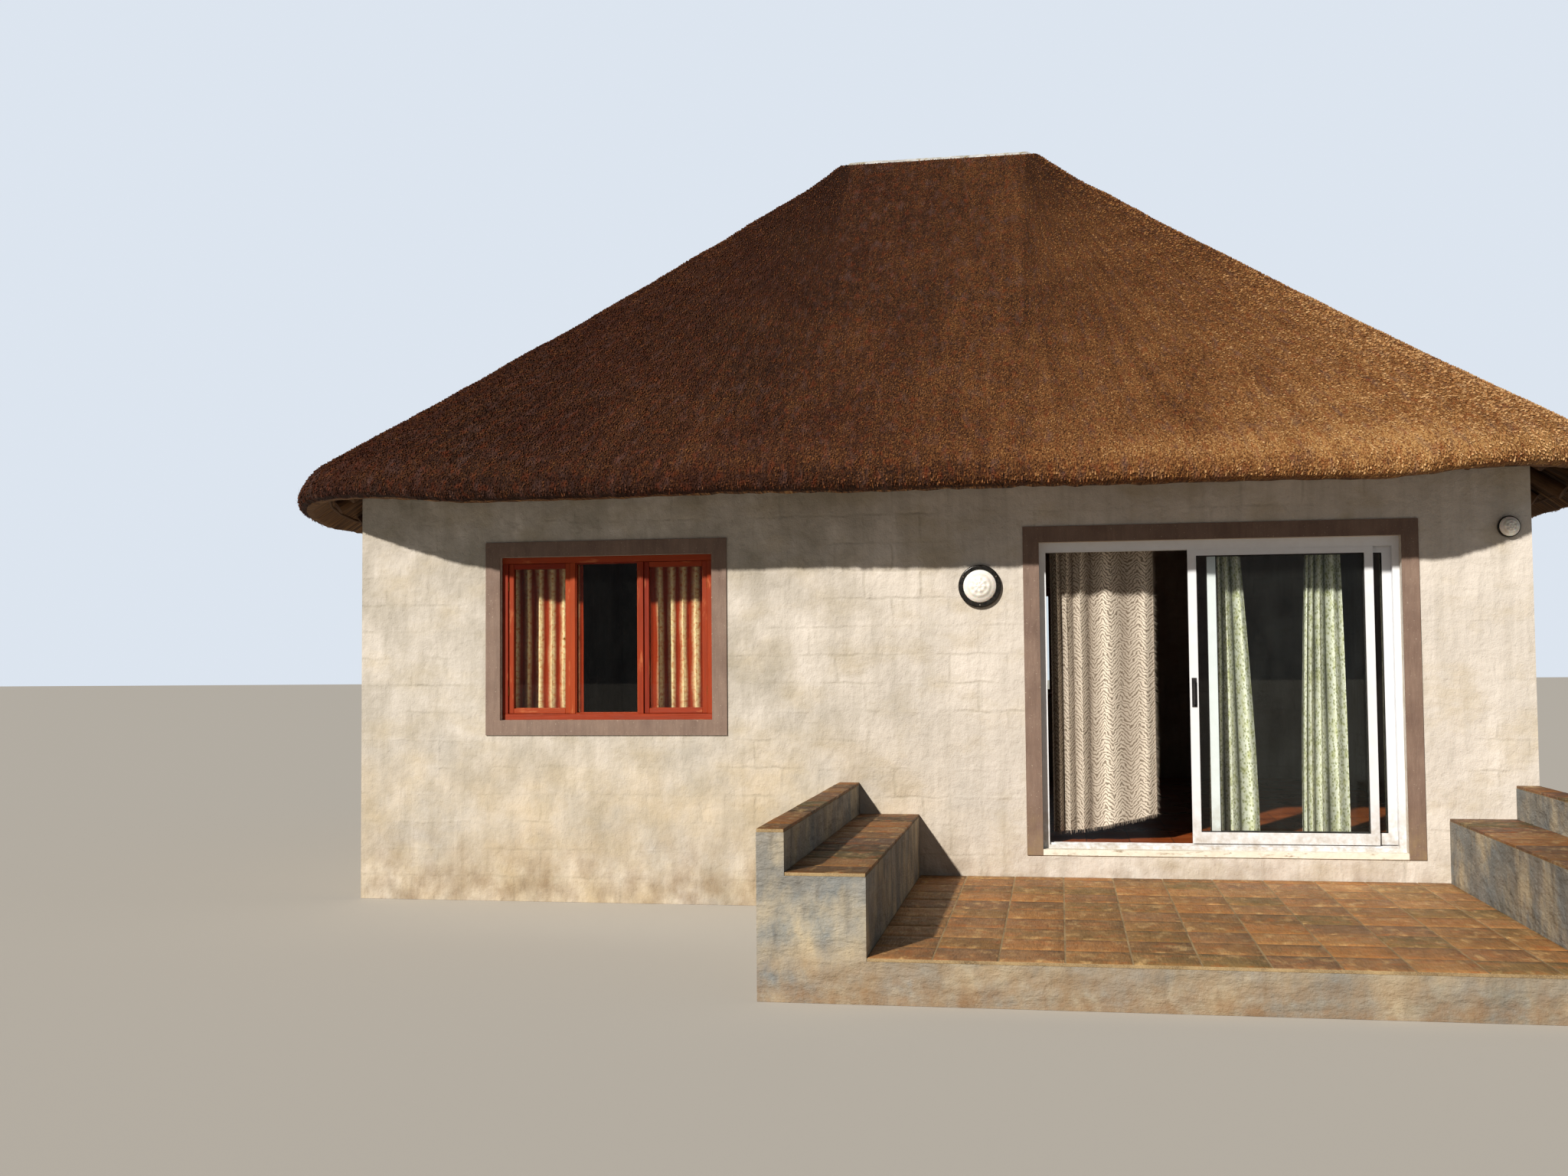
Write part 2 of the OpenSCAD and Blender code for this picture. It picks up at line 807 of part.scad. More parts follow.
// Black pull handle: a back plate, two feet and a grip
module door_handle() {
    plate_t = 6;
    grip_r = 8;
    grip_y = -handle_out + grip_r;
    foot_z = handle_h / 2 - 26;
    color("black")
        translate([slide_x0 + stile_w / 2, outer_panel_y, floor_h + handle_z]) {
            translate([-handle_w / 2, -plate_t, -handle_h / 2])
                cube([handle_w, plate_t, handle_h]);
            translate([0, grip_y, -foot_z - grip_r])
                cylinder(h = 2 * foot_z + 2 * grip_r, r = grip_r);
            for (side = [-1, 1])
                translate([0, 0, side * foot_z])
                    rotate([90, 0, 0])
                        cylinder(h = -grip_y, r = grip_r - 2);
        }
}

// Curtain rail between two points along the wall, on brackets
module curtain_rail(x0, x1, z, brackets) {
    translate([x0, rail_y, z])
        rotate([0, 90, 0])
            cylinder(h = x1 - x0, r = rail_r);
    for (i = [0 : brackets - 1])
        translate([x0 + 40 + (x1 - x0 - 80) * i / (brackets - 1) - 8, inner_y, z - 8])
            cube([16, rail_off, 16]);
}

// Pleated cloth hung from a rail, from x0 to x1 and from height z0 up to the rail at rail_z
module pleated(x0, x1, z0, rail_z) {
    n = ceil((x1 - x0) / pleat_w * pleat_steps);
    xs = [for (i = [0 : n]) x0 + (x1 - x0) * i / n];
    front = [for (x = xs) [x, rail_y - cloth_t / 2 + pleat_d * sin(360 * (x - x0) / pleat_w)]];
    back = [for (i = [n : -1 : 0]) front[i] + [0, cloth_t]];
    translate([0, 0, z0])
        linear_extrude(rail_z - rail_r - seat - z0)
            polygon(concat(front, back));
}

door_curtain_x0 = door_x0 + jamb_face + 50;

module door_curtain_rail() {
    color("dimgray")
        curtain_rail(door_x0 - 110, door_x1 + 110, door_rail_z, 3);
}

module cream_curtain() {
    color("wheat")
        pleated(door_curtain_x0, door_curtain_x0 + cream_w, floor_h + 30, door_rail_z);
}

// Curtains behind the glass: one to the left, one to the right, and the edge of a third
module green_curtains() {
    spans = [[0.47, 0.62], [0.735, 0.885], [0.965, 1]];
    color("palegreen")
        for (s = spans)
            pleated(door_x0 + s[0] * door_w, door_x0 + s[1] * door_w, floor_h + 30, door_rail_z);
}

module window_curtain_rail() {
    color("dimgray")
        curtain_rail(window_x0 - 120, window_x0 + window_w + 120, window_rail_z, 2);
}

module window_curtains() {
    color("goldenrod") {
        pleated(window_x0 - 60, window_x0 + light_x(1) - 20, window_z - 60, window_rail_z);
        pleated(window_x0 + light_x(2) - 20, window_x0 + window_w + 60, window_z - 60, window_rail_z);
    }
}

// Wall lights, drawn with the wall's face at y = 0
module at_lights() {
    translate([door_x0 - ring_light_x, front_y, floor_h + ring_light_z])
        rotate([90, 0, 0])
            children(0);
    translate([house_l / 2 - small_light_x, front_y, floor_h + small_light_z])
        rotate([90, 0, 0])
            children(1);
}

// Base with a rounded rim and a socket for its dome
module light_base(r, dome_r) {
    edge = 10;
    rotate_extrude()
        difference() {
            union() {
                square([r, light_base_t - edge]);
                square([r - edge, light_base_t]);
                translate([r - edge, light_base_t - edge])
                    circle(r = edge);
            }
            translate([-1, light_base_t - edge])
                square([dome_r + seat + 1, edge + 1]);
        }
}

// Domed glass that stands in the socket
module light_dome(r) {
    rotate_extrude()
        intersection() {
            translate([0, light_base_t - 10 + seat])
                square([r, dome_out + 10]);
            translate([0, light_base_t + dome_out - (dome_out * dome_out + r * r) / (2 * dome_out)])
                circle(r = (dome_out * dome_out + r * r) / (2 * dome_out), $fn = 96);
        }
}

module light_bases() {
    color("black")
        at_lights() {
            light_base(ring_light_r, ring_dome_r);
            light_base(small_light_r, small_dome_r);
        }
}

module light_domes() {
    color("white")
        at_lights() {
            light_dome(ring_dome_r);
            light_dome(small_dome_r);
        }
}

module stoep_slab() {
    color("slategray")
        translate([stoep_x0, stoep_y0, 0])
            cube([stoep_l, stoep_d, stoep_h - tile_t]);
}

module stoep_tiles() {
    x0 = left_seat_x + seat_w;
    color("darkolivegreen")
        translate([x0, stoep_y0, stoep_h - tile_t])
            cube([right_seat_x - x0, stoep_d, tile_t]);
}

// Seat and the low wall behind it as one mass of masonry, with the low wall on the left
module seat_wall() {
    z0 = stoep_h - tile_t;
    upright(stoep_y0, stoep_d)
        polygon([
            [0, z0],
            [seat_back_w + seat_w, z0],
            [seat_back_w + seat_w, stoep_h + seat_h - tile_t],
            [seat_back_w, stoep_h + seat_h - tile_t],
            [seat_back_w, stoep_h + seat_back_h - tile_t],
            [0, stoep_h + seat_back_h - tile_t]]);
}

module left_seat_wall() {
    color("slategray")
        translate([stoep_x0, 0, 0])
            seat_wall();
}

module right_seat_wall() {
    color("slategray")
        translate([stoep_x1, 0, 0])
            mirror([1, 0, 0])
                seat_wall();
}

// Tiles on the seats and on the low walls behind them
module seat_tiles() {
    seat_z = stoep_h + seat_h - tile_t;
    back_z = stoep_h + seat_back_h - tile_t;
    color("darkolivegreen") {
        for (x = [left_seat_x, right_seat_x])
            translate([x, stoep_y0, seat_z])
                cube([seat_w, stoep_d, tile_t]);
        for (x = [stoep_x0, stoep_x1 - seat_back_w])
            translate([x, stoep_y0, back_z])
                cube([seat_back_w, stoep_d, tile_t]);
    }
}

floor_slab();
front_wall_left();
front_wall_right();
front_wall_over_door();
door_step();
left_wall();
right_wall();
back_wall();
wall_plates();
rafters_front();
rafters_back();
rafters_left();
rafters_right();
ridge_pole();
thatch_front();
thatch_back();
thatch_left();
thatch_right();
ridge_cap();
window_frames();
window_sashes();
window_glass();
window_bands();
door_band();
door_sill();
door_frame();
fixed_panel();
fixed_glass();
sliding_panel();
sliding_glass();
door_handle();
door_rollers();
door_curtain_rail();
cream_curtain();
green_curtains();
window_curtain_rail();
window_curtains();
light_bases();
light_domes();
stoep_slab();
stoep_tiles();
left_seat_wall();
right_seat_wall();
seat_tiles();
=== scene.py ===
"""Looks of a thatched hut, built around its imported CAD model.

The hut stands on its own: a hipped thatch with rounded corners on poles, plastered
masonry walls, varnished timber windows, a sliding glass door with curtains behind it,
two wall lights, and a stoep of riven slate between two masonry seats.
Every length is in metres. The front faces -Y, +X runs along it to the right, +Z is up.
"""

import logging
import math
from collections.abc import Callable, Iterable, Sequence
from dataclasses import dataclass, replace
from enum import Enum
from itertools import product

import bmesh
import bpy
import numpy as np
from mathutils import Matrix, Vector, noise


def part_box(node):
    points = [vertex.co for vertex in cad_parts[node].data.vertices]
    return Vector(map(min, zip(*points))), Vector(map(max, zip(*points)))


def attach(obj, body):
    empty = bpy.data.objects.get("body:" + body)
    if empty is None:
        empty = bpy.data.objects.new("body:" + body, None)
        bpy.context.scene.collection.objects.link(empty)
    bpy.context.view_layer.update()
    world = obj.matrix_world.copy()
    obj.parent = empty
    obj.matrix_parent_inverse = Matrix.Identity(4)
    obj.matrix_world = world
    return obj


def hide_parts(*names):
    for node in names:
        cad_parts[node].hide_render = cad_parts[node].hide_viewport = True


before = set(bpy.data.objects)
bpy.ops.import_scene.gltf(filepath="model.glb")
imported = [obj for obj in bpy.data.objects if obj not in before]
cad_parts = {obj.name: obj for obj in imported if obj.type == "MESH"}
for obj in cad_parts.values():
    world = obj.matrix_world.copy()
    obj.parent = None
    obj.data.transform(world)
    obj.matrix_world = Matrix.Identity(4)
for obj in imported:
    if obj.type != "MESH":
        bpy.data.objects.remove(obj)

LOG = logging.getLogger("hut")
HUT = "hut"
SLIDING_DOOR = "sliding_door"
RGBA = tuple[float, float, float, float]
Point = tuple[float, float, float]
Tree = bpy.types.NodeTree
Socket = bpy.types.NodeSocket
Thing = bpy.types.Object


def linear(colour: str) -> RGBA:
    """Turn an sRGB hex colour into linear light.

    Args:
        colour: The colour as "#rrggbb".

    Returns:
        Red, green, blue and a full alpha.
    """
    parts = [int(colour[i:i + 2], 16) / 255 for i in (1, 3, 5)]
    red, green, blue = [p / 12.92 if p <= 0.04045 else ((p + 0.055) / 1.055) ** 2.4 for p in parts]
    return red, green, blue, 1.0


def add_node(tree: Tree, kind: str, inputs: dict | None = None, out: int | str | None = 0,
             stops: Sequence[tuple[float, str]] | None = None, **settings: object) -> Socket | None:
    """Add a node with its settings, values and links.

    Args:
        tree: The material or geometry tree that gets the node.
        kind: Blender's name of the node type.
        inputs: Socket name or index to a value, or to the socket that feeds it.
        out: The output to hand back, or None.
        stops: Places and hex colours of a colour ramp.
        **settings: Properties of the node.

    Returns:
        The chosen output socket.
    """
    made = tree.nodes.new(kind)
    for name, value in settings.items():
        setattr(made, name, value)
    if stops:
        ramp = made.color_ramp
        while len(ramp.elements) < len(stops):
            ramp.elements.new(0.5)
        for element, (place, colour) in zip(ramp.elements, stops):
            element.position = place
            element.color = linear(colour)
    for key, value in (inputs or {}).items():
        if isinstance(value, Socket):
            tree.links.new(value, made.inputs[key])
        else:
            made.inputs[key].default_value = value
    return None if out is None else made.outputs[out]


# -------- finishes


@dataclass(frozen=True)
class Fade:
    """A share that changes along an axis, or by a wired number: low up to start, high from end on."""

    by: int | Socket
    start: float
    end: float
    low: float = 0.0
    high: float = 1.0

    def on(self, face: "Surface") -> Socket:
        """Wire the fade.

        Args:
            face: The surface that it is for.

        Returns:
            The share at each place.
        """
        value = face.along(self.by) if isinstance(self.by, int) else self.by
        return face.add("MapRange", {
            "Value": value, "From Min": self.start, "From Max": self.end, "To Min": self.low,
            "To Max": self.high})


@dataclass(frozen=True)
class Patches:
    """Shares in soft patches of a real size in metres, as rain, sun and hand work leave them.

    Low is the share in the weakest patches, high in the strongest. Detail counts the finer
    layers, and a small factor in stretch draws the patches out along its axis.
    """

    size: float
    low: float = 0.0
    high: float = 1.0
    detail: float = 4.0
    stretch: Point = (1, 1, 1)

    def on(self, face: "Surface") -> Socket:
        """Wire the patches.

        Args:
            face: The surface that they are for.

        Returns:
            The share at each place.
        """
        drawn = face.add("Mapping", {"Vector": face.place, "Scale": self.stretch})
        cloud = face.add("TexNoise", {
            "Vector": drawn, "Scale": 1 / self.size, "Detail": self.detail, "Roughness": 0.6}, "Fac")
        return Fade(cloud, 0.3, 0.7, self.low, self.high).on(face)


# What a share can be told by: a recipe, a wired number, a point attribute's name or a plain number
Share = Fade | Patches | Socket | str | float


class Surface:
    """A finish being wired: where it reads its pattern, and the colour and relief so far."""

    def __init__(self, tree: Tree, base: str, reads: str = "Object") -> None:
        """Start with one colour.

        Args:
            tree: The material's tree.
            base: The first colour, as hex.
            reads: "Object" for the place on the hut, "UV" for the piece's own length and width.
        """
        self.tree = tree
        self.place = self.add("TexCoord", out=reads)
        self.colour: Socket | RGBA = linear(base)
        self.normal: Socket | None = None

    def add(self, kind: str, inputs: dict | None = None, out: int | str = 0, **settings: object) -> Socket:
        """Add a shader node to this finish."""
        return add_node(self.tree, "ShaderNode" + kind, inputs, out, **settings)

    def along(self, axis: int) -> Socket:
        """Give the place along an axis."""
        return self.add("SeparateXYZ", {0: self.place}, axis)

    def share(self, source: Share) -> Socket | float:
        """Wire a share.

        Args:
            source: What tells it.

        Returns:
            The share at each place, or one number.
        """
        if isinstance(source, str):
            return self.add("Attribute", out="Fac", attribute_name=source)
        return source.on(self) if isinstance(source, Fade | Patches) else source

    def both(self, *sources: Share, way: str = "MULTIPLY") -> Socket | float:
        """Join shares into one.

        Args:
            *sources: The shares.
            way: How they are joined.

        Returns:
            The joined share.
        """
        total = self.share(sources[0])
        for source in sources[1:]:
            total = self.add("Math", {0: total, 1: self.share(source)}, operation=way)
        return total

    def stain(self, colour: str, *sources: Share, way: str = "MIX") -> None:
        """Lay a colour over what is there.

        Args:
            colour: The new colour, as hex.
            *sources: Shares that are multiplied.
            way: How the colours mix.
        """
        self.colour = self.add(
            "Mix", {0: self.both(*sources), 6: self.colour, 7: linear(colour)}, 2,
            data_type="RGBA", blend_type=way, clamp_factor=True)

    def press(self, source: Share, depth: float) -> None:
        """Press a relief into the surface.

        Args:
            source: Its height, as a share of the depth.
            depth: Its real depth in metres.
        """
        inputs = {"Distance": depth, "Height": self.share(source)}
        if self.normal is not None:
            inputs["Normal"] = self.normal
        self.normal = self.add("Bump", inputs)

    def move(self, by: Socket) -> None:
        """Shift the pattern by a number that differs from member to member."""
        self.place = self.add(
            "VectorMath", {0: by, 1: (37.0, 53.0, 11.0), 2: self.place}, operation="MULTIPLY_ADD")

    def shader(self, roughness: Share, **more: float) -> Socket:
        """End with the surface's shader.

        Args:
            roughness: The roughness.
            **more: Other inputs of the shader, with _ for a space.

        Returns:
            The shader.
        """
        inputs = {"Base Color": self.colour, "Roughness": self.share(roughness)}
        inputs.update({name.replace("_", " "): value for name, value in more.items()})
        if self.normal is not None:
            inputs["Normal"] = self.normal
        return self.add("BsdfPrincipled", inputs)


@dataclass(frozen=True)
class Finish:
    """A finish, wired as one material that every piece with this finish shares."""

    title: str = "finish"

    def wire(self, tree: Tree) -> Socket:
        """Wire the finish.

        Args:
            tree: The material's tree.

        Returns:
            The shader.
        """
        raise NotImplementedError

    def material(self) -> bpy.types.Material:
        """Make the material, or find it again.

        Returns:
            The one material of this finish.
        """
        found = bpy.data.materials.get(self.title)
        if found:
            return found
        made = bpy.data.materials.new(self.title)
        made.use_nodes = True
        made.node_tree.nodes.clear()
        add_node(made.node_tree, "ShaderNodeOutputMaterial", {"Surface": self.wire(made.node_tree)}, None)
        return made


@dataclass(frozen=True)
class Layered(Finish):
    """A finish of stains over a base colour, and of relief, coarse to fine.

    A stain is its colour as hex, then shares that are multiplied. A relief is a share and a
    depth in metres. On "UV" both follow each member's own length, and shift from member to member.
    """

    base: str = "#0b0b0c"
    stains: tuple[tuple[Share, ...], ...] = ()
    relief: tuple[tuple[Share, float], ...] = ()
    rough: Share = 0.9
    reads: str = "Object"
    gloss: tuple[tuple[str, float], ...] = ()

    def wire(self, tree: Tree) -> Socket:
        """Lay the stains, then press the relief.

        Args:
            tree: The material's tree.

        Returns:
            The shader.
        """
        face = Surface(tree, self.base, self.reads)
        if self.reads == "UV":
            face.move(face.share("tone"))
        for colour, *shares in self.stains:
            face.stain(colour, *shares)
        for source, depth in self.relief:
            face.press(source, depth)
        return face.shader(self.rough, **dict(self.gloss))


# Steel-floated plaster, painted taupe by brush: smooth, with faint strokes, chalking and splashes
BAND_PLASTER = Layered(
    "floated_plaster_band_painted_taupe", "#766257",
    stains=(
        ("#8b776a", Patches(0.30, detail=5.0)), ("#5f4d43", Patches(0.03, -0.1, 0.35, 4.0, (1, 1, 0.12))),
        ("#94805f", Fade(2, 0.75, 0.35), Patches(0.06, 0.0, 0.8, 5.0)), ("#b5aa99", Patches(0.012, -5.0))),
    relief=((Patches(0.05, 0.0, 1.0, 3.0, (1, 1, 0.3)), 0.002), (Patches(0.006, detail=2.0), 0.0004)),
    rough=Patches(0.1, 0.55, 0.72))

# Grey cement render, steel-trowelled: cloudy, with blue-grey and lime-pale patches, trowel sweeps
# and rain runs; only the step in front is splashed warm, and soil has stained its foot
TROWELLED_RENDER = Layered(
    "trowelled_cement_render", "#9a948a",
    stains=(
        ("#6c6d6a", Patches(0.40, detail=6.0)), ("#747c80", Patches(0.45, -0.5, 0.9, 6.0)),
        ("#b5a88f", Patches(0.26, -0.6, 1.0, 7.0, (1, 1, 0.7))),
        ("#40382f", Patches(0.09, -0.6, 0.35, 6.0, (1, 1, 0.25))),
        ("#a18a6b", Fade(1, -6.30, -6.42), Fade(2, 0.34, 0.20), Patches(0.20, 0.1, 0.85, 7.0)),
        ("#6e6f68", Fade(1, -6.30, -6.42), Fade(0, 0.8, 3.6, 0.0, 0.5), Patches(0.25, 0.2, 1.0, 6.0)),
        ("#7d5f40", Fade(2, 0.24, 0.0), Patches(0.10, -0.2, 0.9, 6.0))),
    relief=(
        (Patches(0.20, 0.0, 1.0, 5.0, (1, 1, 2.0)), 0.012), (Patches(0.02), 0.0014),
        (Patches(0.007, detail=2.0), 0.0006)),
    rough=Patches(0.15, 0.55, 0.85))

# Cement grout with sharp sand, rubbed off by hand: pale, sandy and stained by soil
SANDY_GROUT = Layered(
    "sand_cement_grout", "#a8916c",
    stains=(("#5b4a36", Patches(0.15, detail=6.0)), ("#c0aa85", Patches(0.006, 0.0, 0.5, 2.0))),
    relief=((Patches(0.005, detail=2.0), 0.001),))

# Planed red hardwood under exterior varnish: orange-red, with darker rings and pores along the
# grain, a satin coat, and streaks that the sun has bleached
VARNISHED_TIMBER = Layered(
    "varnished_red_hardwood", "#98300a",
    stains=(
        ("#7a220a", Patches(0.022, 0.0, 1.0, 3.0, (0.05, 1, 1))),
        ("#46130a", Patches(0.004, 0.0, 0.35, 3.0, (0.025, 1, 1))), ("#bd5c1c", "tone", 0.4),
        ("#cf8b5c", Patches(0.05, -1.2, 0.4, 5.0, (0.25, 1, 1)))),
    relief=((Patches(0.004, 0.0, 1.0, 3.0, (0.025, 1, 1)), 0.0006),),
    rough=Patches(0.12, 0.4, 0.65), reads="UV",
    gloss=(("Coat_Weight", 0.06), ("Coat_Roughness", 0.2), ("Specular_IOR_Level", 0.35)))

# Debarked gum pole, dipped in preservative: brown, with long dark drying checks, and paler wood
# where the bark was stripped unevenly
GUM_POLE = Layered(
    "debarked_gum_pole_treated", "#7d5a3c",
    stains=(
        ("#3b2819", Patches(0.05, 0.0, 1.0, 3.0, (0.05, 1, 1))),
        ("#2a1b10", Patches(0.008, 0.0, 0.4, 3.0, (0.025, 1, 1))),
        ("#94704c", Patches(0.2, -0.4, 0.6, 5.0, (0.4, 1, 1))),
        ("#150d08", Patches(0.010, 1.6, -6.0, 2.0, (0.03, 1, 1)))),
    relief=((Patches(0.008, 0.0, 1.0, 3.0, (0.025, 1, 1)), 0.002),),
    rough=0.78, reads="UV")

# Sawn pine, green-brown from treatment: pale, with reddish rings and saw marks across it
SAWN_PINE = Layered(
    "sawn_treated_pine", "#9a7a50",
    stains=(
        ("#6b4d2e", Patches(0.03, 0.0, 1.0, 3.0, (0.05, 1, 1))),
        ("#4c3721", Patches(0.005, 0.0, 0.35, 3.0, (0.025, 1, 1)))),
    relief=((Patches(0.006, 0.0, 1.0, 1.0, (1, 0.05, 1)), 0.0012),),
    rough=0.85, reads="UV")

# White powder coat on extruded aluminium: even and satin, with dust low down and in the tracks.
# Orange peel is about 1.5 mm wide in the real coat and drawn at 4 mm so that it shows
POWDER_COAT = Layered(
    "white_powder_coated_aluminium", "#dfe3e8",
    stains=(("#9c8b72", Fade(2, 0.8, 0.42, 0.08, 0.75), Patches(0.05, detail=5.0)),),
    relief=((Patches(0.004, detail=1.0), 0.0002),),
    rough=Patches(0.08, 0.28, 0.42))

# Cement sill under white gloss enamel: slightly uneven, scuffed along its edge by feet
PAINTED_SILL = Layered(
    "cement_sill_white_enamel", "#e9e5da",
    stains=(
        ("#c9bda6", Patches(0.12, 0.0, 0.5, 5.0)), ("#8c7a62", Patches(0.025, -1.6, 0.9, 5.0, (0.3, 1, 1)))),
    relief=((Patches(0.04, detail=3.0), 0.002),),
    rough=Patches(0.07, 0.3, 0.6))

# Stove enamel is deep and glossy with a slight ripple, and dusty on top
BLACK_ENAMEL = Layered(
    "black_stove_enamel", "#0b0b0c",
    stains=(("#5d564b", Patches(0.03, 0.0, 0.25, 5.0)),),
    relief=((Patches(0.01, detail=2.0), 0.0002),),
    rough=Patches(0.04, 0.15, 0.35))
# Moulded nylon is matt from its spark-eroded mould, and greyer where hands rub it
HANDLE_NYLON = Layered(
    "black_moulded_nylon", "#17161a",
    stains=(("#45413f", Patches(0.03, -0.3, 0.6)),),
    relief=((Patches(0.002), 0.0002),),
    rough=Patches(0.04, 0.42, 0.58))
ROLLER_NYLON = replace(
    HANDLE_NYLON, title="grey_nylon_rollers", base="#4a4a4c",
    stains=(("#6e6a64", Patches(0.03, -0.3, 0.6)),))
# Extruded rubber is dull, and chalky at its edge from the sun
GLAZING_RUBBER = Layered(
    "black_glazing_rubber", "#1a1a1a",
    stains=(("#3a3937", Patches(0.04)),),
    relief=((Patches(0.004), 0.0003),),
    rough=Patches(0.04, 0.72, 0.88))
# Drawn steel tube keeps its lengthwise draw lines, and rust freckles it
DULL_STEEL = Layered(
    "drawn_steel_dull", "#8f8a82",
    stains=(("#6a3d20", Patches(0.02, -1.4, 0.8, 5.0)),),
    relief=((Patches(0.003, 0.0, 1.0, 2.0, (0.05, 1, 1)), 0.0002),),
    rough=Patches(0.03, 0.35, 0.6), gloss=(("Metallic", 0.8),))
# Cast brass keeps its shine where the lacquer holds, and browns where it has gone
BRASS = Layered(
    "lacquered_brass", "#b08a45",
    stains=(("#5f4524", Patches(0.015)),),
    relief=((Patches(0.006), 0.0001),),
    rough=Patches(0.02, 0.25, 0.5), gloss=(("Metallic", 0.9),))
# Pressed opal glass is milky and softly glossy, and greyer the deeper its grooves are pressed
OPAL_GLASS = Layered(
    "pressed_opal_glass", "#f6f4ee",
    # Greyer with the tone, which is the depth of the pressing
    stains=(("#b9b5ab", "tone"), ("#d0cabd", Patches(0.03, -0.4, 0.35))),
    relief=((Patches(0.012), 0.0004),),
    rough=0.22, gloss=(("Subsurface_Weight", 0.15), ("Subsurface_Scale", 0.01)))


@dataclass(frozen=True)
class BaggedPlaster(Finish):
    """Masonry bagged with thin cement slurry and painted cream.

    The block courses show faintly, rain has drawn grey streaks down it, it is greyer towards
    its left end, and soil has splashed its foot.
    """

    title: str = "bagged_plaster_painted_cream"
    paint: str = "#c6c0b8"
    chalky: str = "#d9d2c9"
    grey_stain: str = "#979184"
    soil: str = "#84705a"
    block_l: float = 0.40
    block_h: float = 0.20

    def courses(self, wall: Surface) -> Socket:
        """Draw the joints of the blocks, which the slurry half hides.

        Args:
            wall: The wall's surface.

        Returns:
            The share of a joint that shows.
        """
        level = wall.both(wall.along(0), wall.along(1), way="ADD")
        flat = wall.add("CombineXYZ", {0: level, 1: wall.along(2)})
        shaken = wall.add("TexNoise", {"Vector": wall.place, "Scale": 6.0, "Detail": 3.0}, "Color")
        wavy = wall.add("VectorMath", {0: shaken, 1: (0.05, 0.05, 0.0), 2: flat}, operation="MULTIPLY_ADD")
        joints = wall.add(
            "TexBrick", {"Vector": wavy, "Scale": 1.0, "Mortar Size": 0.017, "Mortar Smooth": 1.0,
                         "Brick Width": self.block_l, "Row Height": self.block_h}, "Fac")
        return wall.both(joints, Patches(0.5, -0.6, 0.85, 3.0))

    def wire(self, tree: Tree) -> Socket:
        """Paint the plaster, stain it and press its relief.

        Args:
            tree: The material's tree.

        Returns:
            The shader.
        """
        wall = Surface(tree, self.paint)
        courses = self.courses(wall)
        wall.stain(self.chalky, Patches(0.5, detail=6.0))
        wall.stain(self.grey_stain, Patches(0.10, -0.15, 0.30, 5.0, (1, 1, 0.10)))
        wall.stain("#b7ab93", Patches(0.28, -0.5, 0.55, 7.0, (0.7, 0.7, 1.2)))
        # Greyer towards the left end
        wall.stain(self.grey_stain, Fade(0, 0.9, -0.8), Patches(0.30, -0.05, 0.75, 9.0, (1, 1, 0.8)))
        wall.stain("#bda67c", Fade(0, 0.9, -0.8), Fade(2, 1.4, 0.7), Patches(0.5, 0.0, 0.5, 5.0))
        wall.stain("#8f8979", courses, 0.35)
        wall.stain(self.soil, Fade(2, 0.60, 0.10), Patches(0.16, -0.25, 0.75, 7.0, (1, 1, 0.7)))
        wall.press(Patches(0.22, detail=3.0), 0.007)
        wall.press(Patches(0.055, 0.0, 1.0, 5.0, (1, 1, 0.7)), 0.0045)
        # Sand grain is 2 mm in the real slurry and drawn at 10 mm so that it shows
        wall.press(Patches(0.010, detail=2.0), 0.0011)
        wall.press(wall.both(courses, -1.0), 0.003)
        return wall.shader(Patches(0.2, 0.78, 0.92), Specular_IOR_Level=0.3)


@dataclass(frozen=True)
class RivenSlate(Finish):
    """Slate split along its bed and laid unsealed: brown, olive and rust tiles, each a little
    different, with fine parallel ridges, pale dust in the hollows and a dull sheen; on the floor
    it is paler and more golden than on the seats."""

    title: str = "riven_slate"

    def wire(self, tree: Tree) -> Socket:
        """Colour each tile, vein it and press its ridges.

        Args:
            tree: The material's tree.

        Returns:
            The shader.
        """
        slate = Surface(tree, "#7a5c3c")
        on_floor = slate.share(Fade(2, 0.50, 0.30))
        tone = slate.share("tone")
        slate.colour = slate.add("ValToRGB", {"Fac": tone}, stops=[
            (0.0, "#4d3b26"), (0.2, "#926a40"), (0.4, "#665a35"),
            (0.6, "#a26e3a"), (0.8, "#6f5340"), (1.0, "#b0824f")])
        # Each tile is cut from another part of the rock
        slate.move(tone)
        clouds = slate.share(Patches(0.20, 0.0, 1.0, 7.0, (1, 0.6, 1)))
        ridges = slate.share(Patches(0.022, 0.0, 1.0, 6.0, (1.6, 0.3, 1)))
        slate.stain("#3a2c1b", clouds, 0.45)
        slate.stain("#96592b", Patches(0.09, -1.0, 0.9, 5.0))
        slate.stain("#bfa273", Patches(0.08, -1.2, 0.8, 8.0, (1, 0.5, 1)))
        # Paler and more golden low down, on the floor, than up on the seats
        slate.stain("#826340", on_floor, Patches(0.12, 0.35, 1.0, 6.0, (1, 0.4, 1)), way="ADD")
        slate.stain("#2c2218", ridges, 0.3)
        slate.press(clouds, 0.006)
        slate.press(ridges, 0.003)
        return slate.shader(Patches(0.05, 0.42, 0.75))


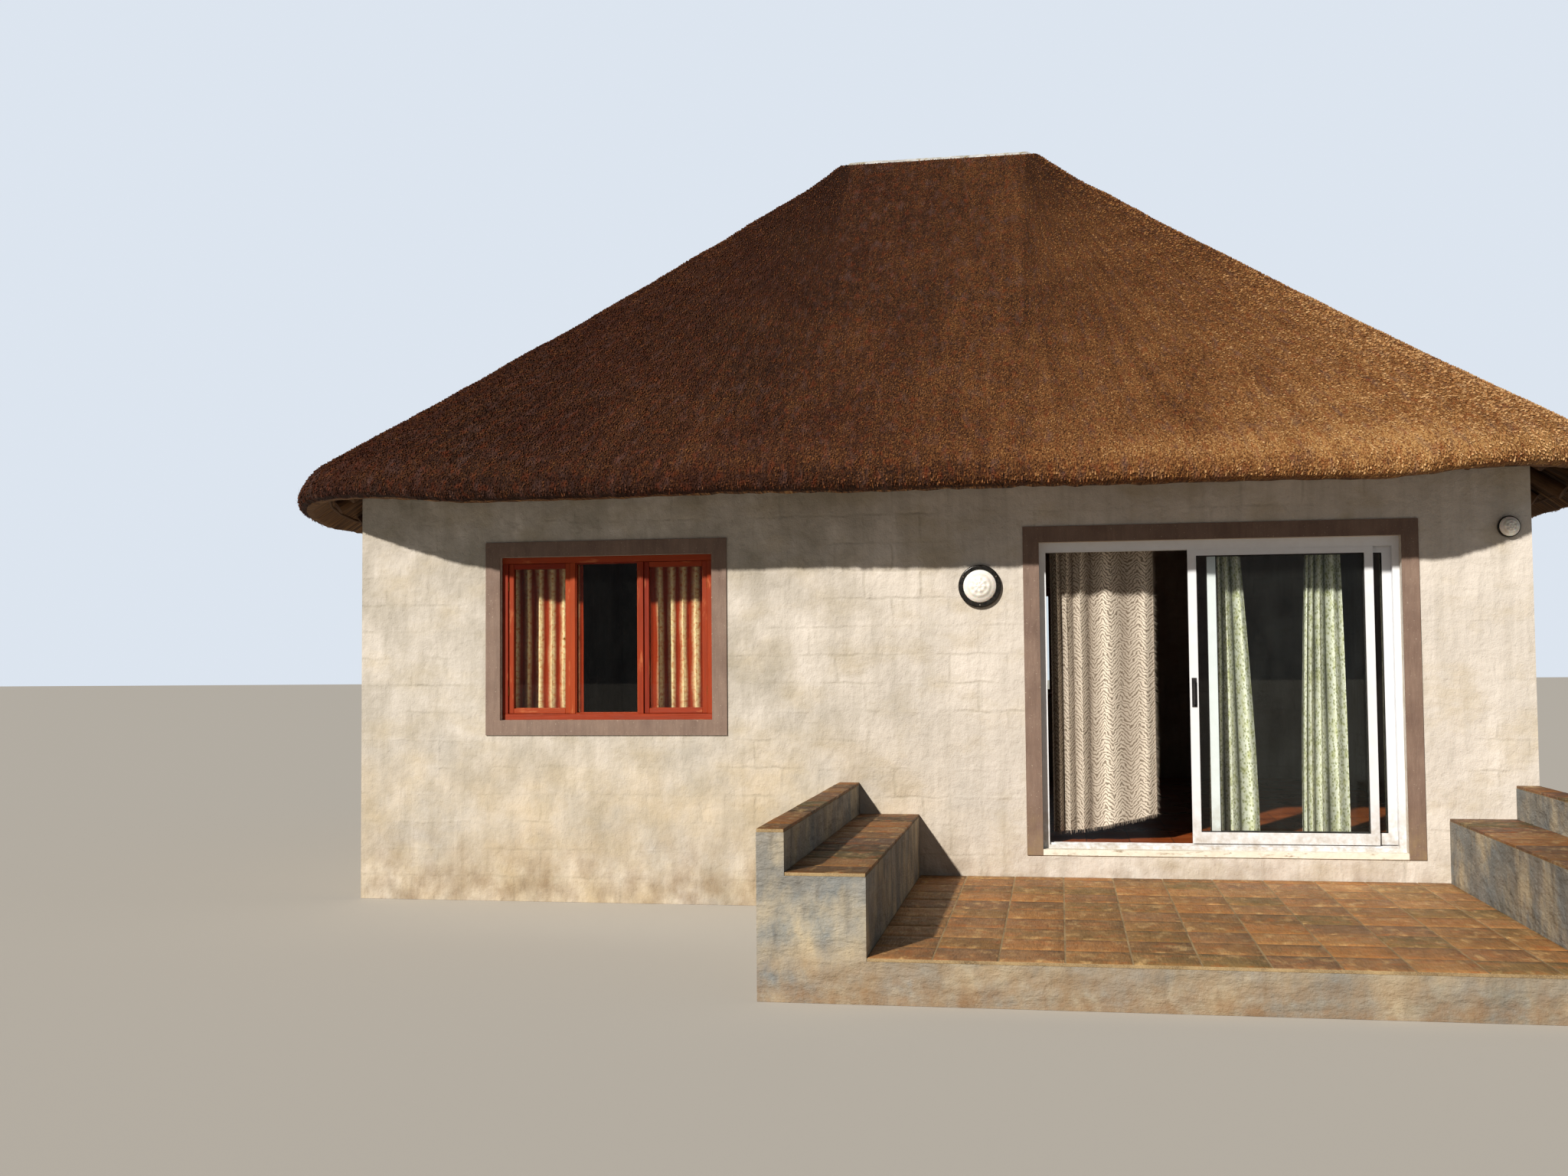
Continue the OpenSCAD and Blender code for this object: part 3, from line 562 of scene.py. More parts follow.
@dataclass(frozen=True)
class Terracotta(Finish):
    """Polished terracotta floor tiles of 300 mm: warm orange-brown, each fired a little
    differently, with darker joints and a waxed sheen worn dull where people walk."""

    title: str = "waxed_terracotta_tiles"
    tile: float = 0.30

    def wire(self, tree: Tree) -> Socket:
        """Lay the tiles' colours and joints.

        Args:
            tree: The material's tree.

        Returns:
            The shader.
        """
        floor = Surface(tree, "#a85527")
        tiles = {
            "Vector": floor.place, "Color1": linear("#b5602e"), "Color2": linear("#934621"),
            "Mortar": linear("#4d3425"), "Scale": 1.0, "Mortar Size": 0.004, "Mortar Smooth": 0.2,
            "Brick Width": self.tile, "Row Height": self.tile}
        floor.colour, joints = [floor.add("TexBrick", tiles, out, offset=0.0) for out in ("Color", "Fac")]
        floor.stain("#cd7c46", Patches(0.2, 0.0, 0.5, 5.0))
        floor.press(floor.both(joints, -1.0), 0.002)
        return floor.shader(Patches(0.4, 0.2, 0.45), Coat_Weight=0.3, Coat_Roughness=0.2)


class ThatchSide(Enum):
    """The places on the thatch that look different, by the names of their materials."""

    GROUND = "thatch_between_the_butts"
    BUTTS = "thatch_cut_reed_butts"
    SOFFIT = "thatch_reed_lengths_from_below"


THATCH_STOPS = {
    ThatchSide.GROUND: [(0.0, "#1e130a"), (0.3, "#4c321c"), (0.65, "#855c35"), (1.0, "#b89160")],
    ThatchSide.BUTTS: [
        (0.0, "#28170c"), (0.25, "#4f321b"), (0.5, "#805835"), (0.75, "#a27a4e"), (1.0, "#c7a57a")],
    ThatchSide.SOFFIT: [(0.0, "#1f140b"), (0.35, "#54381f"), (0.7, "#86613a"), (1.0, "#b48e5b")],
}


@dataclass(frozen=True)
class Thatch(Finish):
    """Cape reed, dressed so that its cut butts face out: a fine stipple over darker gaps,
    combed in streaks down the slope, golden towards the right and dark reddish brown towards
    the left, partly from sun and damp and partly as painted light and shade. From below the reed
    shows as long parallel stalks."""

    side: ThatchSide = ThatchSide.BUTTS

    def wire(self, tree: Tree) -> Socket:
        """Colour this side of the thatch.

        Args:
            tree: The material's tree.

        Returns:
            The shader.
        """
        reed = Surface(tree, "#7c4f2a")
        whole = reed.place
        if self.side is ThatchSide.BUTTS:
            combed = reed.add("Attribute", out="Vector", attribute_name="comb")
        else:
            combed = reed.add("TexCoord", out="UV")
        if self.side is ThatchSide.SOFFIT:
            reed.place = combed
            stalks = reed.share(Patches(0.014, 0.0, 1.0, 3.0, (1, 0.03, 1)))
            reed.colour = reed.add("ValToRGB", {"Fac": stalks}, stops=THATCH_STOPS[self.side])
            reed.press(stalks, 0.008)
            return reed.shader(0.8)
        # Darkest at the left end and lightest at the right, partly from damp and sun and partly as
        # painted shade and light; a little darker up at the ridge and lighter lower down; painted
        # shade under the lip; and a painted highlight along the lip's right half, where the sun falls
        weather_and_shade = reed.both(
            Fade(0, -3.4, 3.3, -0.34, 0.14), Fade(0, 1.4, 0.0, 0.0, -0.13), Fade(2, 4.3, 6.2, 0.0, -0.05),
            Fade(2, 4.2, 3.2, 0.0, 0.06), Fade(2, 3.06, 2.98, 0.0, -0.14),
            reed.both(Fade(2, 3.26, 3.12, 0.0, 0.14), Fade(0, 0.0, 2.0)),
            Patches(1.3, -0.08, 0.08), Patches(0.3, -0.06, 0.06, 6.0), way="ADD")
        reed.place = combed
        ends: Share = "tone"
        if self.side is ThatchSide.GROUND:
            ends = reed.share(Patches(0.011, 0.12, 0.90, 3.0, (1, 0.5, 1)))
            reed.press(ends, 0.012)
        level = reed.both(
            weather_and_shade, Patches(0.13, -0.10, 0.10, 5.0, (1, 0.10, 1)),
            Patches(0.026, -0.13, 0.13, 2.0, (1, 0.55, 1)), ends, way="ADD")
        reed.colour = reed.add("ValToRGB", {"Fac": level}, stops=THATCH_STOPS[self.side])
        reed.stain("#6f5a58", Patches(0.07, -0.55, 0.45, 5.0, (1, 0.35, 1)))
        reed.stain("#8a431f", Patches(0.05, -0.55, 0.45, 5.0, (1, 0.5, 1)))
        reed.place = whole
        # Dark reddish brown towards the left end: partly damp, partly painted shade
        reed.stain("#4a1f10", Fade(0, 3.2, -1.5, 0.0, 0.42), Patches(0.9, 0.4))
        return reed.shader(0.75, Specular_IOR_Level=0.3)


@dataclass(frozen=True)
class RidgeMortar(Finish):
    """Sand and cement mortar, laid on the ridge by hand: pale grey and lumpy, with lichen,
    rain stains and fine shrinkage cracks."""

    title: str = "hand_laid_ridge_mortar"

    def wire(self, tree: Tree) -> Socket:
        """Stain the mortar, crack it and press its lumps.

        Args:
            tree: The material's tree.

        Returns:
            The shader.
        """
        mortar = Surface(tree, "#c9cbcc")
        mortar.stain("#96938e", Patches(0.3, -0.2, 0.8, 6.0))
        mortar.stain("#dadbd8", Patches(0.05, -0.7, 0.8, 5.0))
        mortar.stain("#8a7a4a", Patches(0.09, -1.0, 0.9, 6.0))
        cracks = mortar.add(
            "TexVoronoi", {"Vector": mortar.place, "Scale": 5.0}, "Distance", feature="DISTANCE_TO_EDGE")
        mortar.stain("#3c352d", Fade(cracks, 0.0, 0.012, 0.6, 0.0))
        mortar.press(Patches(0.03), 0.004)
        mortar.press(Patches(0.006, detail=2.0), 0.001)
        return mortar.shader(0.9)


@dataclass(frozen=True)
class FloatGlass(Finish):
    """Clear float glass: see-through, mirror-like at a glance, with a thin film of dust
    and wiped smears that catch the sun."""

    title: str = "clear_float_glass"
    film: float = 0.02

    def wire(self, tree: Tree) -> Socket:
        """Mix the clear pane, its mirror and its dust.

        Args:
            tree: The material's tree.

        Returns:
            The shader.
        """
        pane = Surface(tree, "#cfd4d2")
        clear = pane.add("BsdfTransparent", {"Color": linear("#fcfefd")})
        gloss = pane.add("BsdfGlossy", {"Color": linear("#ffffff"), "Roughness": 0.01})
        # Each pane mirrors with both its faces, so the index is set for the strength of the pair
        mirror = pane.add("Fresnel", {"IOR": 1.27})
        glass = pane.add("MixShader", {0: mirror, 1: clear, 2: gloss})
        dust = pane.add("BsdfDiffuse", {"Color": pane.colour})
        return pane.add(
            "MixShader", {0: pane.share(Patches(0.16, 0.0, self.film, 5.0, (1, 1, 0.4))), 1: glass, 2: dust})


@dataclass(frozen=True)
class Weave(Finish):
    """A curtain cloth, woven plain: threads show close up and its sheen is soft. Its folds are
    painted darker as painted shade, and its crests keep the pale base colour as a painted highlight.

    Threads are 0.6 mm in the real cloth and drawn 3 mm apart so that they show.
    """

    thread: float = 0.003
    base: str = "#dfe2d6"
    # Painted shade laid into the folds: its colour, its share in the deepest folds, and where it stops
    fold_shade: str = "#6f7465"
    kept: float = 0.5
    crest: float = 0.75

    def dye(self, cloth: Surface) -> None:
        """Colour the cloth by its own width, axis 0, and length, axis 1."""
        raise NotImplementedError

    def waves(self, cloth: Surface, along: Socket, length: float) -> Socket:
        """Make stripes of a real width.

        Args:
            cloth: The cloth's surface.
            along: The length that they repeat over, in metres.
            length: Distance from stripe to stripe.

        Returns:
            A wave from -1 to 1.
        """
        return cloth.add("Math", {0: cloth.both(along, 2 * math.pi / length)}, operation="SINE")

    def wire(self, tree: Tree) -> Socket:
        """Dye the cloth, paint shade into its folds and press its threads.

        Args:
            tree: The material's tree.

        Returns:
            The shader.
        """
        cloth = Surface(tree, self.base, "UV")
        self.dye(cloth)
        # Painted shade: the folds take the fold colour, the crests keep the base as a painted highlight
        cloth.stain(self.fold_shade, Fade(cloth.share("tone"), self.crest, self.crest - 0.5, 0.0, self.kept))
        warp, weft = [self.waves(cloth, cloth.along(axis), self.thread) for axis in (0, 1)]
        cloth.press(cloth.both(warp, weft), 0.0003)
        cloth.press(Patches(0.05, detail=3.0), 0.003)
        return cloth.shader(0.9, Sheen_Weight=0.1, Sheen_Roughness=0.5, Specular_IOR_Level=0.2)


@dataclass(frozen=True)
class HerringboneCotton(Weave):
    """Heavy cotton throw in a large cream and tan herringbone, with slubs in its yarn.

    The stripe is about 20 mm wide in the real cloth and drawn at 28 mm so that it shows.
    """

    title: str = "cream_herringbone_cotton"
    base: str = "#e5dccf"
    # Painted shade in the folds
    fold_shade: str = "#5f5246"
    kept: float = 0.6
    chevron: float = 0.13
    stripe: float = 0.028

    def dye(self, cloth: Surface) -> None:
        """Weave the herringbone.

        Args:
            cloth: The cloth's surface.
        """
        zigzag = cloth.add("Math", {0: cloth.along(0), 1: self.chevron / 2}, operation="PINGPONG")
        level = cloth.both(zigzag, cloth.along(1), Patches(0.05, -0.016, 0.016, 3.0), way="ADD")
        cloth.stain("#55483a", Fade(self.waves(cloth, level, self.stripe), 0.0, 0.8, 0.0, 0.88))
        cloth.stain("#e6dcc9", Patches(0.007, 0.0, 0.35, 3.0))


@dataclass(frozen=True)
class PaleGreenPrint(Weave):
    """Thin white cotton, roller-printed with a loose all-over leaf scatter in pale green."""

    title: str = "pale_green_printed_cotton"
    base: str = "#fff9ef"
    # Painted shade in the folds, near black
    fold_shade: str = "#3a3829"
    kept: float = 0.95
    crest: float = 0.66

    def dye(self, cloth: Surface) -> None:
        """Print the leaf scatter.

        Args:
            cloth: The cloth's surface.
        """
        drawn = cloth.add("Mapping", {"Vector": cloth.place, "Scale": (1, 0.6, 1)})
        sprigs = cloth.add("TexVoronoi", {"Vector": drawn, "Scale": 75.0}, "Distance")
        cloth.stain("#d8d3a0", Patches(0.04, -0.6, 0.9, 3.0, (1, 0.5, 1)))
        cloth.stain("#8d8f45", Fade(sprigs, 0.50, 0.26, 0.0, 0.7))


@dataclass(frozen=True)
class GoldenPrint(Weave):
    """Golden cotton with a faded tone-on-tone check and rust bars, its crests left yellow-gold as a
    painted highlight and its folds painted red-brown as painted shade."""

    title: str = "golden_checked_cotton"
    base: str = "#ffe9b8"
    # Painted shade in the folds; the pale base stays on the crests as a painted highlight
    fold_shade: str = "#96330a"
    kept: float = 1.0
    crest: float = 0.80

    def dye(self, cloth: Surface) -> None:
        """Weave the check.

        Args:
            cloth: The cloth's surface.
        """
        cloth.stain("#c4702e", Fade(self.waves(cloth, cloth.along(1), 0.07), 0.3, 1.0, 0.0, 0.25),
                    Patches(0.05, detail=3.0))
        cloth.stain("#d07028", Patches(0.026, -0.7, 0.9))
        cloth.stain("#fff0cc", Patches(0.045, -0.6, 0.7))


# -------- making meshes


def show(name: str, data: bpy.types.ID) -> Thing:
    """Put a new object in the scene.

    Args:
        name: Its name.
        data: Its mesh, light or camera.

    Returns:
        The object, at the origin.
    """
    piece = bpy.data.objects.new(name, data)
    bpy.context.scene.collection.objects.link(piece)
    return piece


def settle(piece: Thing, body: str, slot: str, *stands_for: str) -> Thing:
    """Give a finished piece its body, hide the CAD nodes that it stands for, and report it.

    Args:
        piece: The finished piece.
        body: The CAD body that it moves with.
        slot: Not used.
        *stands_for: The CAD nodes that it stands for.

    Returns:
        The piece.
    """
    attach(piece, body)
    if stands_for:
        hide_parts(*stands_for)
    triangles = sum(len(p.vertices) - 2 for p in piece.data.polygons)
    LOG.info("%s: %d triangles on %s", piece.name, triangles, body)
    return piece


def dress(node: str, finish: Finish) -> None:
    """Give a CAD node a finish in all its slots.

    Args:
        node: The node's name.
        finish: Its finish.
    """
    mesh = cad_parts[node].data
    mesh.materials.clear()
    mesh.materials.append(finish.material())
    LOG.info("%s: CAD node in %s", node, mesh.materials[0].name)


def cells(n: int, m: int) -> list[tuple[tuple[int, int], ...]]:
    """Give the four corners of each cell of a grid, n cells by m."""
    return [((i, j), (i, j + 1), (i + 1, j + 1), (i + 1, j)) for i in range(n) for j in range(m)]


def border(x0: float, z0: float, x1: float, z1: float, y0: float, y1: float, w: float,
           tall: bool = False, step: float = 0.0) -> list[tuple[Point, Point, int]]:
    """Work out four members round the inside of an upright rectangle.

    Args:
        x0: Its left edge.
        z0: Its lower edge.
        x1: Its right edge.
        z1: Its upper edge.
        y0: The members' outer face.
        y1: Their inner face.
        w: Their width.
        tall: Whether the uprights run through, and not the level ones.
        step: How far the faces of the shorter members lie back.

    Returns:
        The lowest and highest corner of each member, and the axis of its length.
    """
    cut, lie = ((w, 0.0), (step, 0.0)) if tall else ((0.0, w), (0.0, step))
    members = [((x0 + cut[0], y0 + lie[0], z), (x1 - cut[0], y1 - lie[0], z + w), 0) for z in (z0, z1 - w)]
    return members + [
        ((x, y0 + lie[1], z0 + cut[1]), (x + w, y1 - lie[1], z1 - cut[1]), 2) for x in (x0, x1 - w)]


def box_faces() -> tuple[np.ndarray, list[tuple[int, ...]], list[int]]:
    """Work out a box with its edges cut off, between -1 and 1.

    Returns:
        For each vertex its corner signs and its own axis, then the faces, then the axis
        that each face is square to.
    """
    points = np.array([(*signs, own) for signs in product((-1, 1), repeat=3) for own in range(3)], float)
    shrunk = points[:, :3] * np.where(np.arange(3) == points[:, 3:], 1.0, 0.8)
    faces, square_to = [], []
    for way in product((-1, 0, 1), repeat=3):
        if any(way):
            # A face holds the vertices that lie farthest its own way, and turns anticlockwise
            far = shrunk @ way
            ring = np.flatnonzero(far > far.max() - 1e-6)
            turned = shrunk[ring] @ np.array(Vector(way).to_track_quat("Z", "Y").to_matrix())
            faces.append(tuple(ring[np.argsort(np.arctan2(turned[:, 1], turned[:, 0]))].tolist()))
            square_to.append(next(i for i, c in enumerate(way) if c))
    return points, faces, square_to


BOX_POINTS, BOX_FACES, BOX_SQUARE = box_faces()


class Maker:
    """Collects closed solids and turns them into one mesh with UVs in metres and a tone."""

    def __init__(self) -> None:
        """Start with nothing."""
        self.points: list[np.ndarray] = []
        self.faces: list[tuple[int, ...]] = []
        self.uvs: list[tuple[float, float]] = []
        self.tones: list[np.ndarray] = []
        self.count = 0

    def add(self, points: np.ndarray, faces: Iterable[Sequence[int]], uvs: Iterable[tuple[float, float]],
            tone: float | np.ndarray, place: Matrix | None = None) -> None:
        """Add a solid.

        Args:
            points: Its vertices.
            faces: Its faces, as indices into points.
            uvs: One pair for each corner of each face.
            tone: One number for the solid, or one for each vertex.
            place: Where it stands, if not where its vertices say.
        """
        points = np.asarray(points, float)
        if place is not None:
            points = points @ np.array(place.to_3x3()).T + np.array(place.translation)
        self.points.append(points)
        self.faces.extend(tuple(i + self.count for i in f) for f in faces)
        self.uvs.extend(uvs)
        self.tones.append(np.broadcast_to(np.asarray(tone, float), (len(points),)))
        self.count += len(points)

    def beam(self, low: Point, high: Point, along: int, edge: float = 0.003, tone: float = 0.5,
             place: Matrix | None = None) -> None:
        """Add a box with its edges taken off, and its UVs running along one axis.

        Args:
            low: Its lowest corner.
            high: Its highest corner.
            along: The axis of its length, 0, 1 or 2.
            edge: Width taken off its edges.
            tone: A number that tells it from its neighbours.
            place: Where it stands, if not where its corners say.
        """
        low_a, high_a = np.array(low, float), np.array(high, float)
        half = (high_a - low_a) / 2
        own = BOX_POINTS[:, 3:] == np.arange(3)
        points = (low_a + high_a) / 2 + BOX_POINTS[:, :3] * (half - ~own * min(edge, half.min() * 0.6))
        uvs = []
        for face, axis in zip(BOX_FACES, BOX_SQUARE):
            others = [i for i in range(3) if i not in (along, axis)]
            length = along if axis != along else others[-1]
            uvs.extend((points[i][length], points[i][others[0]] + tone) for i in face)
        self.add(points, BOX_FACES, uvs, tone, place)

    def tube(self, path: np.ndarray, radii: np.ndarray, sides: int, tone: float = 0.5) -> None:
        """Add a closed round bar along a path.

        Args:
            path: The points of its middle line.
            radii: Its radius at each point.
            sides: How many sides it has.
            tone: A number that tells it from its neighbours.
        """
        ways = np.gradient(path, axis=0)
        upright = abs(ways[0][2]) >= 0.9 * np.linalg.norm(ways[0])
        side = np.cross(ways, (1.0, 0.0, 0.0) if upright else (0.0, 0.0, 1.0))
        up = np.cross(side, ways)
        side, up = [way / np.linalg.norm(way, axis=1)[:, None] for way in (side, up)]
        turn = np.arange(sides) * 2 * math.pi / sides
        rings = (path[:, None] + radii[:, None, None] * (
            np.cos(turn)[None, :, None] * side[:, None] + np.sin(turn)[None, :, None] * up[:, None]))
        n = len(path)
        gone = np.concatenate([[0], np.cumsum(np.linalg.norm(np.diff(path, axis=0), axis=1))])
        girth = 2 * math.pi * float(radii.mean()) / sides
        faces = [tuple(i * sides + j % sides for i, j in cell) for cell in cells(n - 1, sides)]
        uvs = [(gone[i], j * girth) for cell in cells(n - 1, sides) for i, j in cell]
        faces.append(tuple(range(sides - 1, -1, -1)))
        faces.append(tuple((n - 1) * sides + j for j in range(sides)))
        uvs += [(0.02 * math.cos(a), 0.3 * math.sin(a)) for a in turn] * 2
        self.add(rings.reshape(-1, 3), faces, uvs, tone)

    def turned(self, profile: Sequence[tuple[float, float]], place: Matrix, steps: int,
               swell: Callable[[float, float], float] | None = None, tone: float = 0.5) -> None:
        """Add a solid turned about the local Z axis, closed on its axis at both ends.

        Args:
            profile: Radius and height of each point, from the bottom's middle outwards and up.
            place: Where it stands.
            steps: How many faces it has round its axis.
            swell: Relief added to the height, from the radius and the angle.
            tone: A number that tells it from its neighbours.
        """
        inner = [p for p in profile if p[0] > 1e-9]
        points, tones = [(0.0, 0.0, profile[0][1])], [tone]
        for r, z in inner:
            for a in np.arange(steps) * 2 * math.pi / steps:
                rise = swell(r, a) if swell else 0.0
                points.append((r * math.cos(a), r * math.sin(a), z + rise))
                tones.append(tone if not swell else min(1.0, max(0.0, -rise * 90)))
        top, last = len(points) - steps, len(points)
        points.append((0.0, 0.0, profile[-1][1]))
        faces = [tuple(1 + i * steps + j % steps for i, j in cell) for cell in cells(len(inner) - 1, steps)]
        for j in range(steps):
            k = (j + 1) % steps
            faces += [(0, 1 + k, 1 + j), (top + j, top + k, last)]
        self.add(np.array(points), faces, [points[i][:2] for f in faces for i in f],
                 np.array(tones + [tone]), place)

    def finish(self, name: str, finish: Finish, smooth: float | None = None) -> Thing:
        """Turn what was collected into an object.

        Args:
            name: The piece's name.
            finish: Its finish.
            smooth: Angle in degrees under which neighbouring faces are shaded as one, if any.

        Returns:
            The piece, at the origin.
        """
        mesh = bpy.data.meshes.new(name)
        mesh.from_pydata(np.concatenate(self.points).tolist(), [], self.faces)
        layer = mesh.uv_layers.new(name="UVMap")
        layer.data.foreach_set("uv", np.array(self.uvs, np.float32).ravel())
        tone = mesh.attributes.new("tone", "FLOAT", "POINT")
        tone.data.foreach_set("value", np.concatenate(self.tones).astype(np.float32))
        mesh.materials.append(finish.material())
        mesh.update()
        if smooth is not None:
            mesh.polygons.foreach_set("use_smooth", [True] * len(mesh.polygons))
            mesh.set_sharp_from_angle(angle=math.radians(smooth))
        return show(name, mesh)


class Pattern:
    """A Geometry Nodes tree that repeats a small part, run once and kept as a plain mesh."""

    def __init__(self, title: str, **sizes: object) -> None:
        """Start a tree.

        Args:
            title: The tree's name.
            **sizes: Name of each input to its default.
        """
        self.tree = bpy.data.node_groups.new(title, "GeometryNodeTree")
        face = self.tree.interface
        face.new_socket("Geometry", in_out="INPUT", socket_type="NodeSocketGeometry")
        self.keys: dict[str, str] = {}
        for name, value in sizes.items():
            kind = "NodeSocketInt" if isinstance(value, int) else "NodeSocketFloat"
            socket = face.new_socket(name, in_out="INPUT", socket_type=kind)
            socket.default_value = value
            self.keys[name] = socket.identifier
        material = face.new_socket("material", in_out="INPUT", socket_type="NodeSocketMaterial")
        self.keys["material"] = material.identifier
        face.new_socket("Geometry", in_out="OUTPUT", socket_type="NodeSocketGeometry")
        self.given = self.tree.nodes.new("NodeGroupInput").outputs

    def add(self, kind: str, inputs: dict | None = None, out: int | str | None = 0,
            **settings: object) -> Socket | None:
        """Add a node to this tree."""
        return add_node(self.tree, kind, inputs, out, **settings)

    def facing(self, name: str) -> Socket:
        """Turn parts so that their Z axis follows a vector.

        Args:
            name: The vector's name on the guide.

        Returns:
            The turn.
        """
        way = self.add(
            "GeometryNodeInputNamedAttribute", {"Name": name}, "Attribute", data_type="FLOAT_VECTOR")
        return self.add("FunctionNodeAlignRotationToVector", {"Vector": way}, axis="Z")

    def rolled(self, by: Socket, first: Socket) -> Socket:
        """Turn parts by angles about their own axes, after a first turn."""
        own = self.add("FunctionNodeEulerToRotation", {0: by})
        return self.add("FunctionNodeRotateRotation", {0: first, 1: own}, rotation_space="LOCAL")

    def hang(self, part: Socket, **more: object) -> "Pattern":
        """End the tree with a part at each point of the guide.

        Args:
            part: The part.
            **more: Other inputs of the node that repeats it.

        Returns:
            The pattern.
        """
        points = self.add("GeometryNodeMeshToPoints", {"Mesh": self.given["Geometry"]})
        given = {"Points": points, "Instance": part, **more}
        return self.close(self.add("GeometryNodeInstanceOnPoints", given))

    def close(self, parts: Socket) -> "Pattern":
        """End the tree: make the instances real and give them their material.

        Args:
            parts: The instances.

        Returns:
            The pattern.
        """
        real = self.add("GeometryNodeRealizeInstances", {0: parts})
        painted = self.add("GeometryNodeSetMaterial", {"Geometry": real, "Material": self.given["material"]})
        self.add("NodeGroupOutput", {0: painted}, None)
        return self

    def run(self, guide: Thing, name: str, finish: Finish, **values: object) -> Thing:
        """Run the tree on a guide mesh, and drop the guide.

        Args:
            guide: The mesh that carries the points, lines or faces to follow.
            name: The new piece's name.
            finish: The new piece's finish.
            **values: Input names to their values.

        Returns:
            The piece as a plain mesh at the origin.
        """
        modifier = guide.modifiers.new("pattern", "NODES")
        modifier.node_group = self.tree
        for key, value in {"material": finish.material(), **values}.items():
            modifier[self.keys[key]] = value
        graph = bpy.context.evaluated_depsgraph_get()
        mesh = bpy.data.meshes.new_from_object(guide.evaluated_get(graph), depsgraph=graph)
        guide.modifiers.remove(modifier)
        bpy.data.objects.remove(guide)
        mesh.name = name
        return show(name, mesh)


def guide_mesh(points: Sequence[Sequence[float]], edges: Sequence[tuple[int, int]] = (),
               faces: Sequence[Sequence[int]] = (), **vectors: Sequence[Sequence[float]]) -> Thing:
    """Make a mesh for a pattern to follow.

    Args:
        points: Its vertices.
        edges: Its edges.
        faces: Its faces.
        **vectors: Attribute names to one vector for each vertex.

    Returns:
        The guide, in the scene.
    """
    mesh = bpy.data.meshes.new("guide")
    mesh.from_pydata(np.asarray(points).tolist(), list(edges), list(faces))
    for name, values in vectors.items():
        attribute = mesh.attributes.new(name, "FLOAT_VECTOR", "POINT")
        attribute.data.foreach_set("vector", np.asarray(values, np.float32).ravel())
    return show("guide", mesh)


def merged(node: str) -> bmesh.types.BMesh:
    """Copy a CAD node's mesh with its doubled vertices joined.

    Args:
        node: The node's name.

    Returns:
        The copy, for the caller to free.
    """
    grid = bmesh.new()
    grid.from_mesh(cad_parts[node].data)
    bmesh.ops.remove_doubles(grid, verts=grid.verts, dist=1e-5)
    return grid


def islands(node: str) -> list[np.ndarray]:
    """Split a CAD node into its separate solids.

    Args:
        node: The node's name.

    Returns:
        The vertices of each solid, from left to right.
    """
    grid = merged(node)
    left = set(grid.verts)
    found = []
    while left:
        heap = [left.pop()]
        solid = []
        while heap:
            vert = heap.pop()
            solid.append(vert.co[:])
            near = {v for edge in vert.link_edges for v in edge.verts} & left
            left -= near
            heap += near
        found.append(np.array(solid))
    grid.free()
    return sorted(found, key=lambda p: tuple(p.mean(0).round(4)))


def wander(place: Sequence[float], size: float, seed: float = 0.0) -> float:
    """Give a smooth number from -1 to 1 that changes over a given length.

    Args:
        place: Where, in metres.
        size: Length over which it changes.
        seed: Picks another field of numbers.

    Returns:
        The number.
    """
    return noise.noise(Vector((place[0] / size + seed, place[1] / size - seed, place[2] / size + 2 * seed)))


# -------- thatch


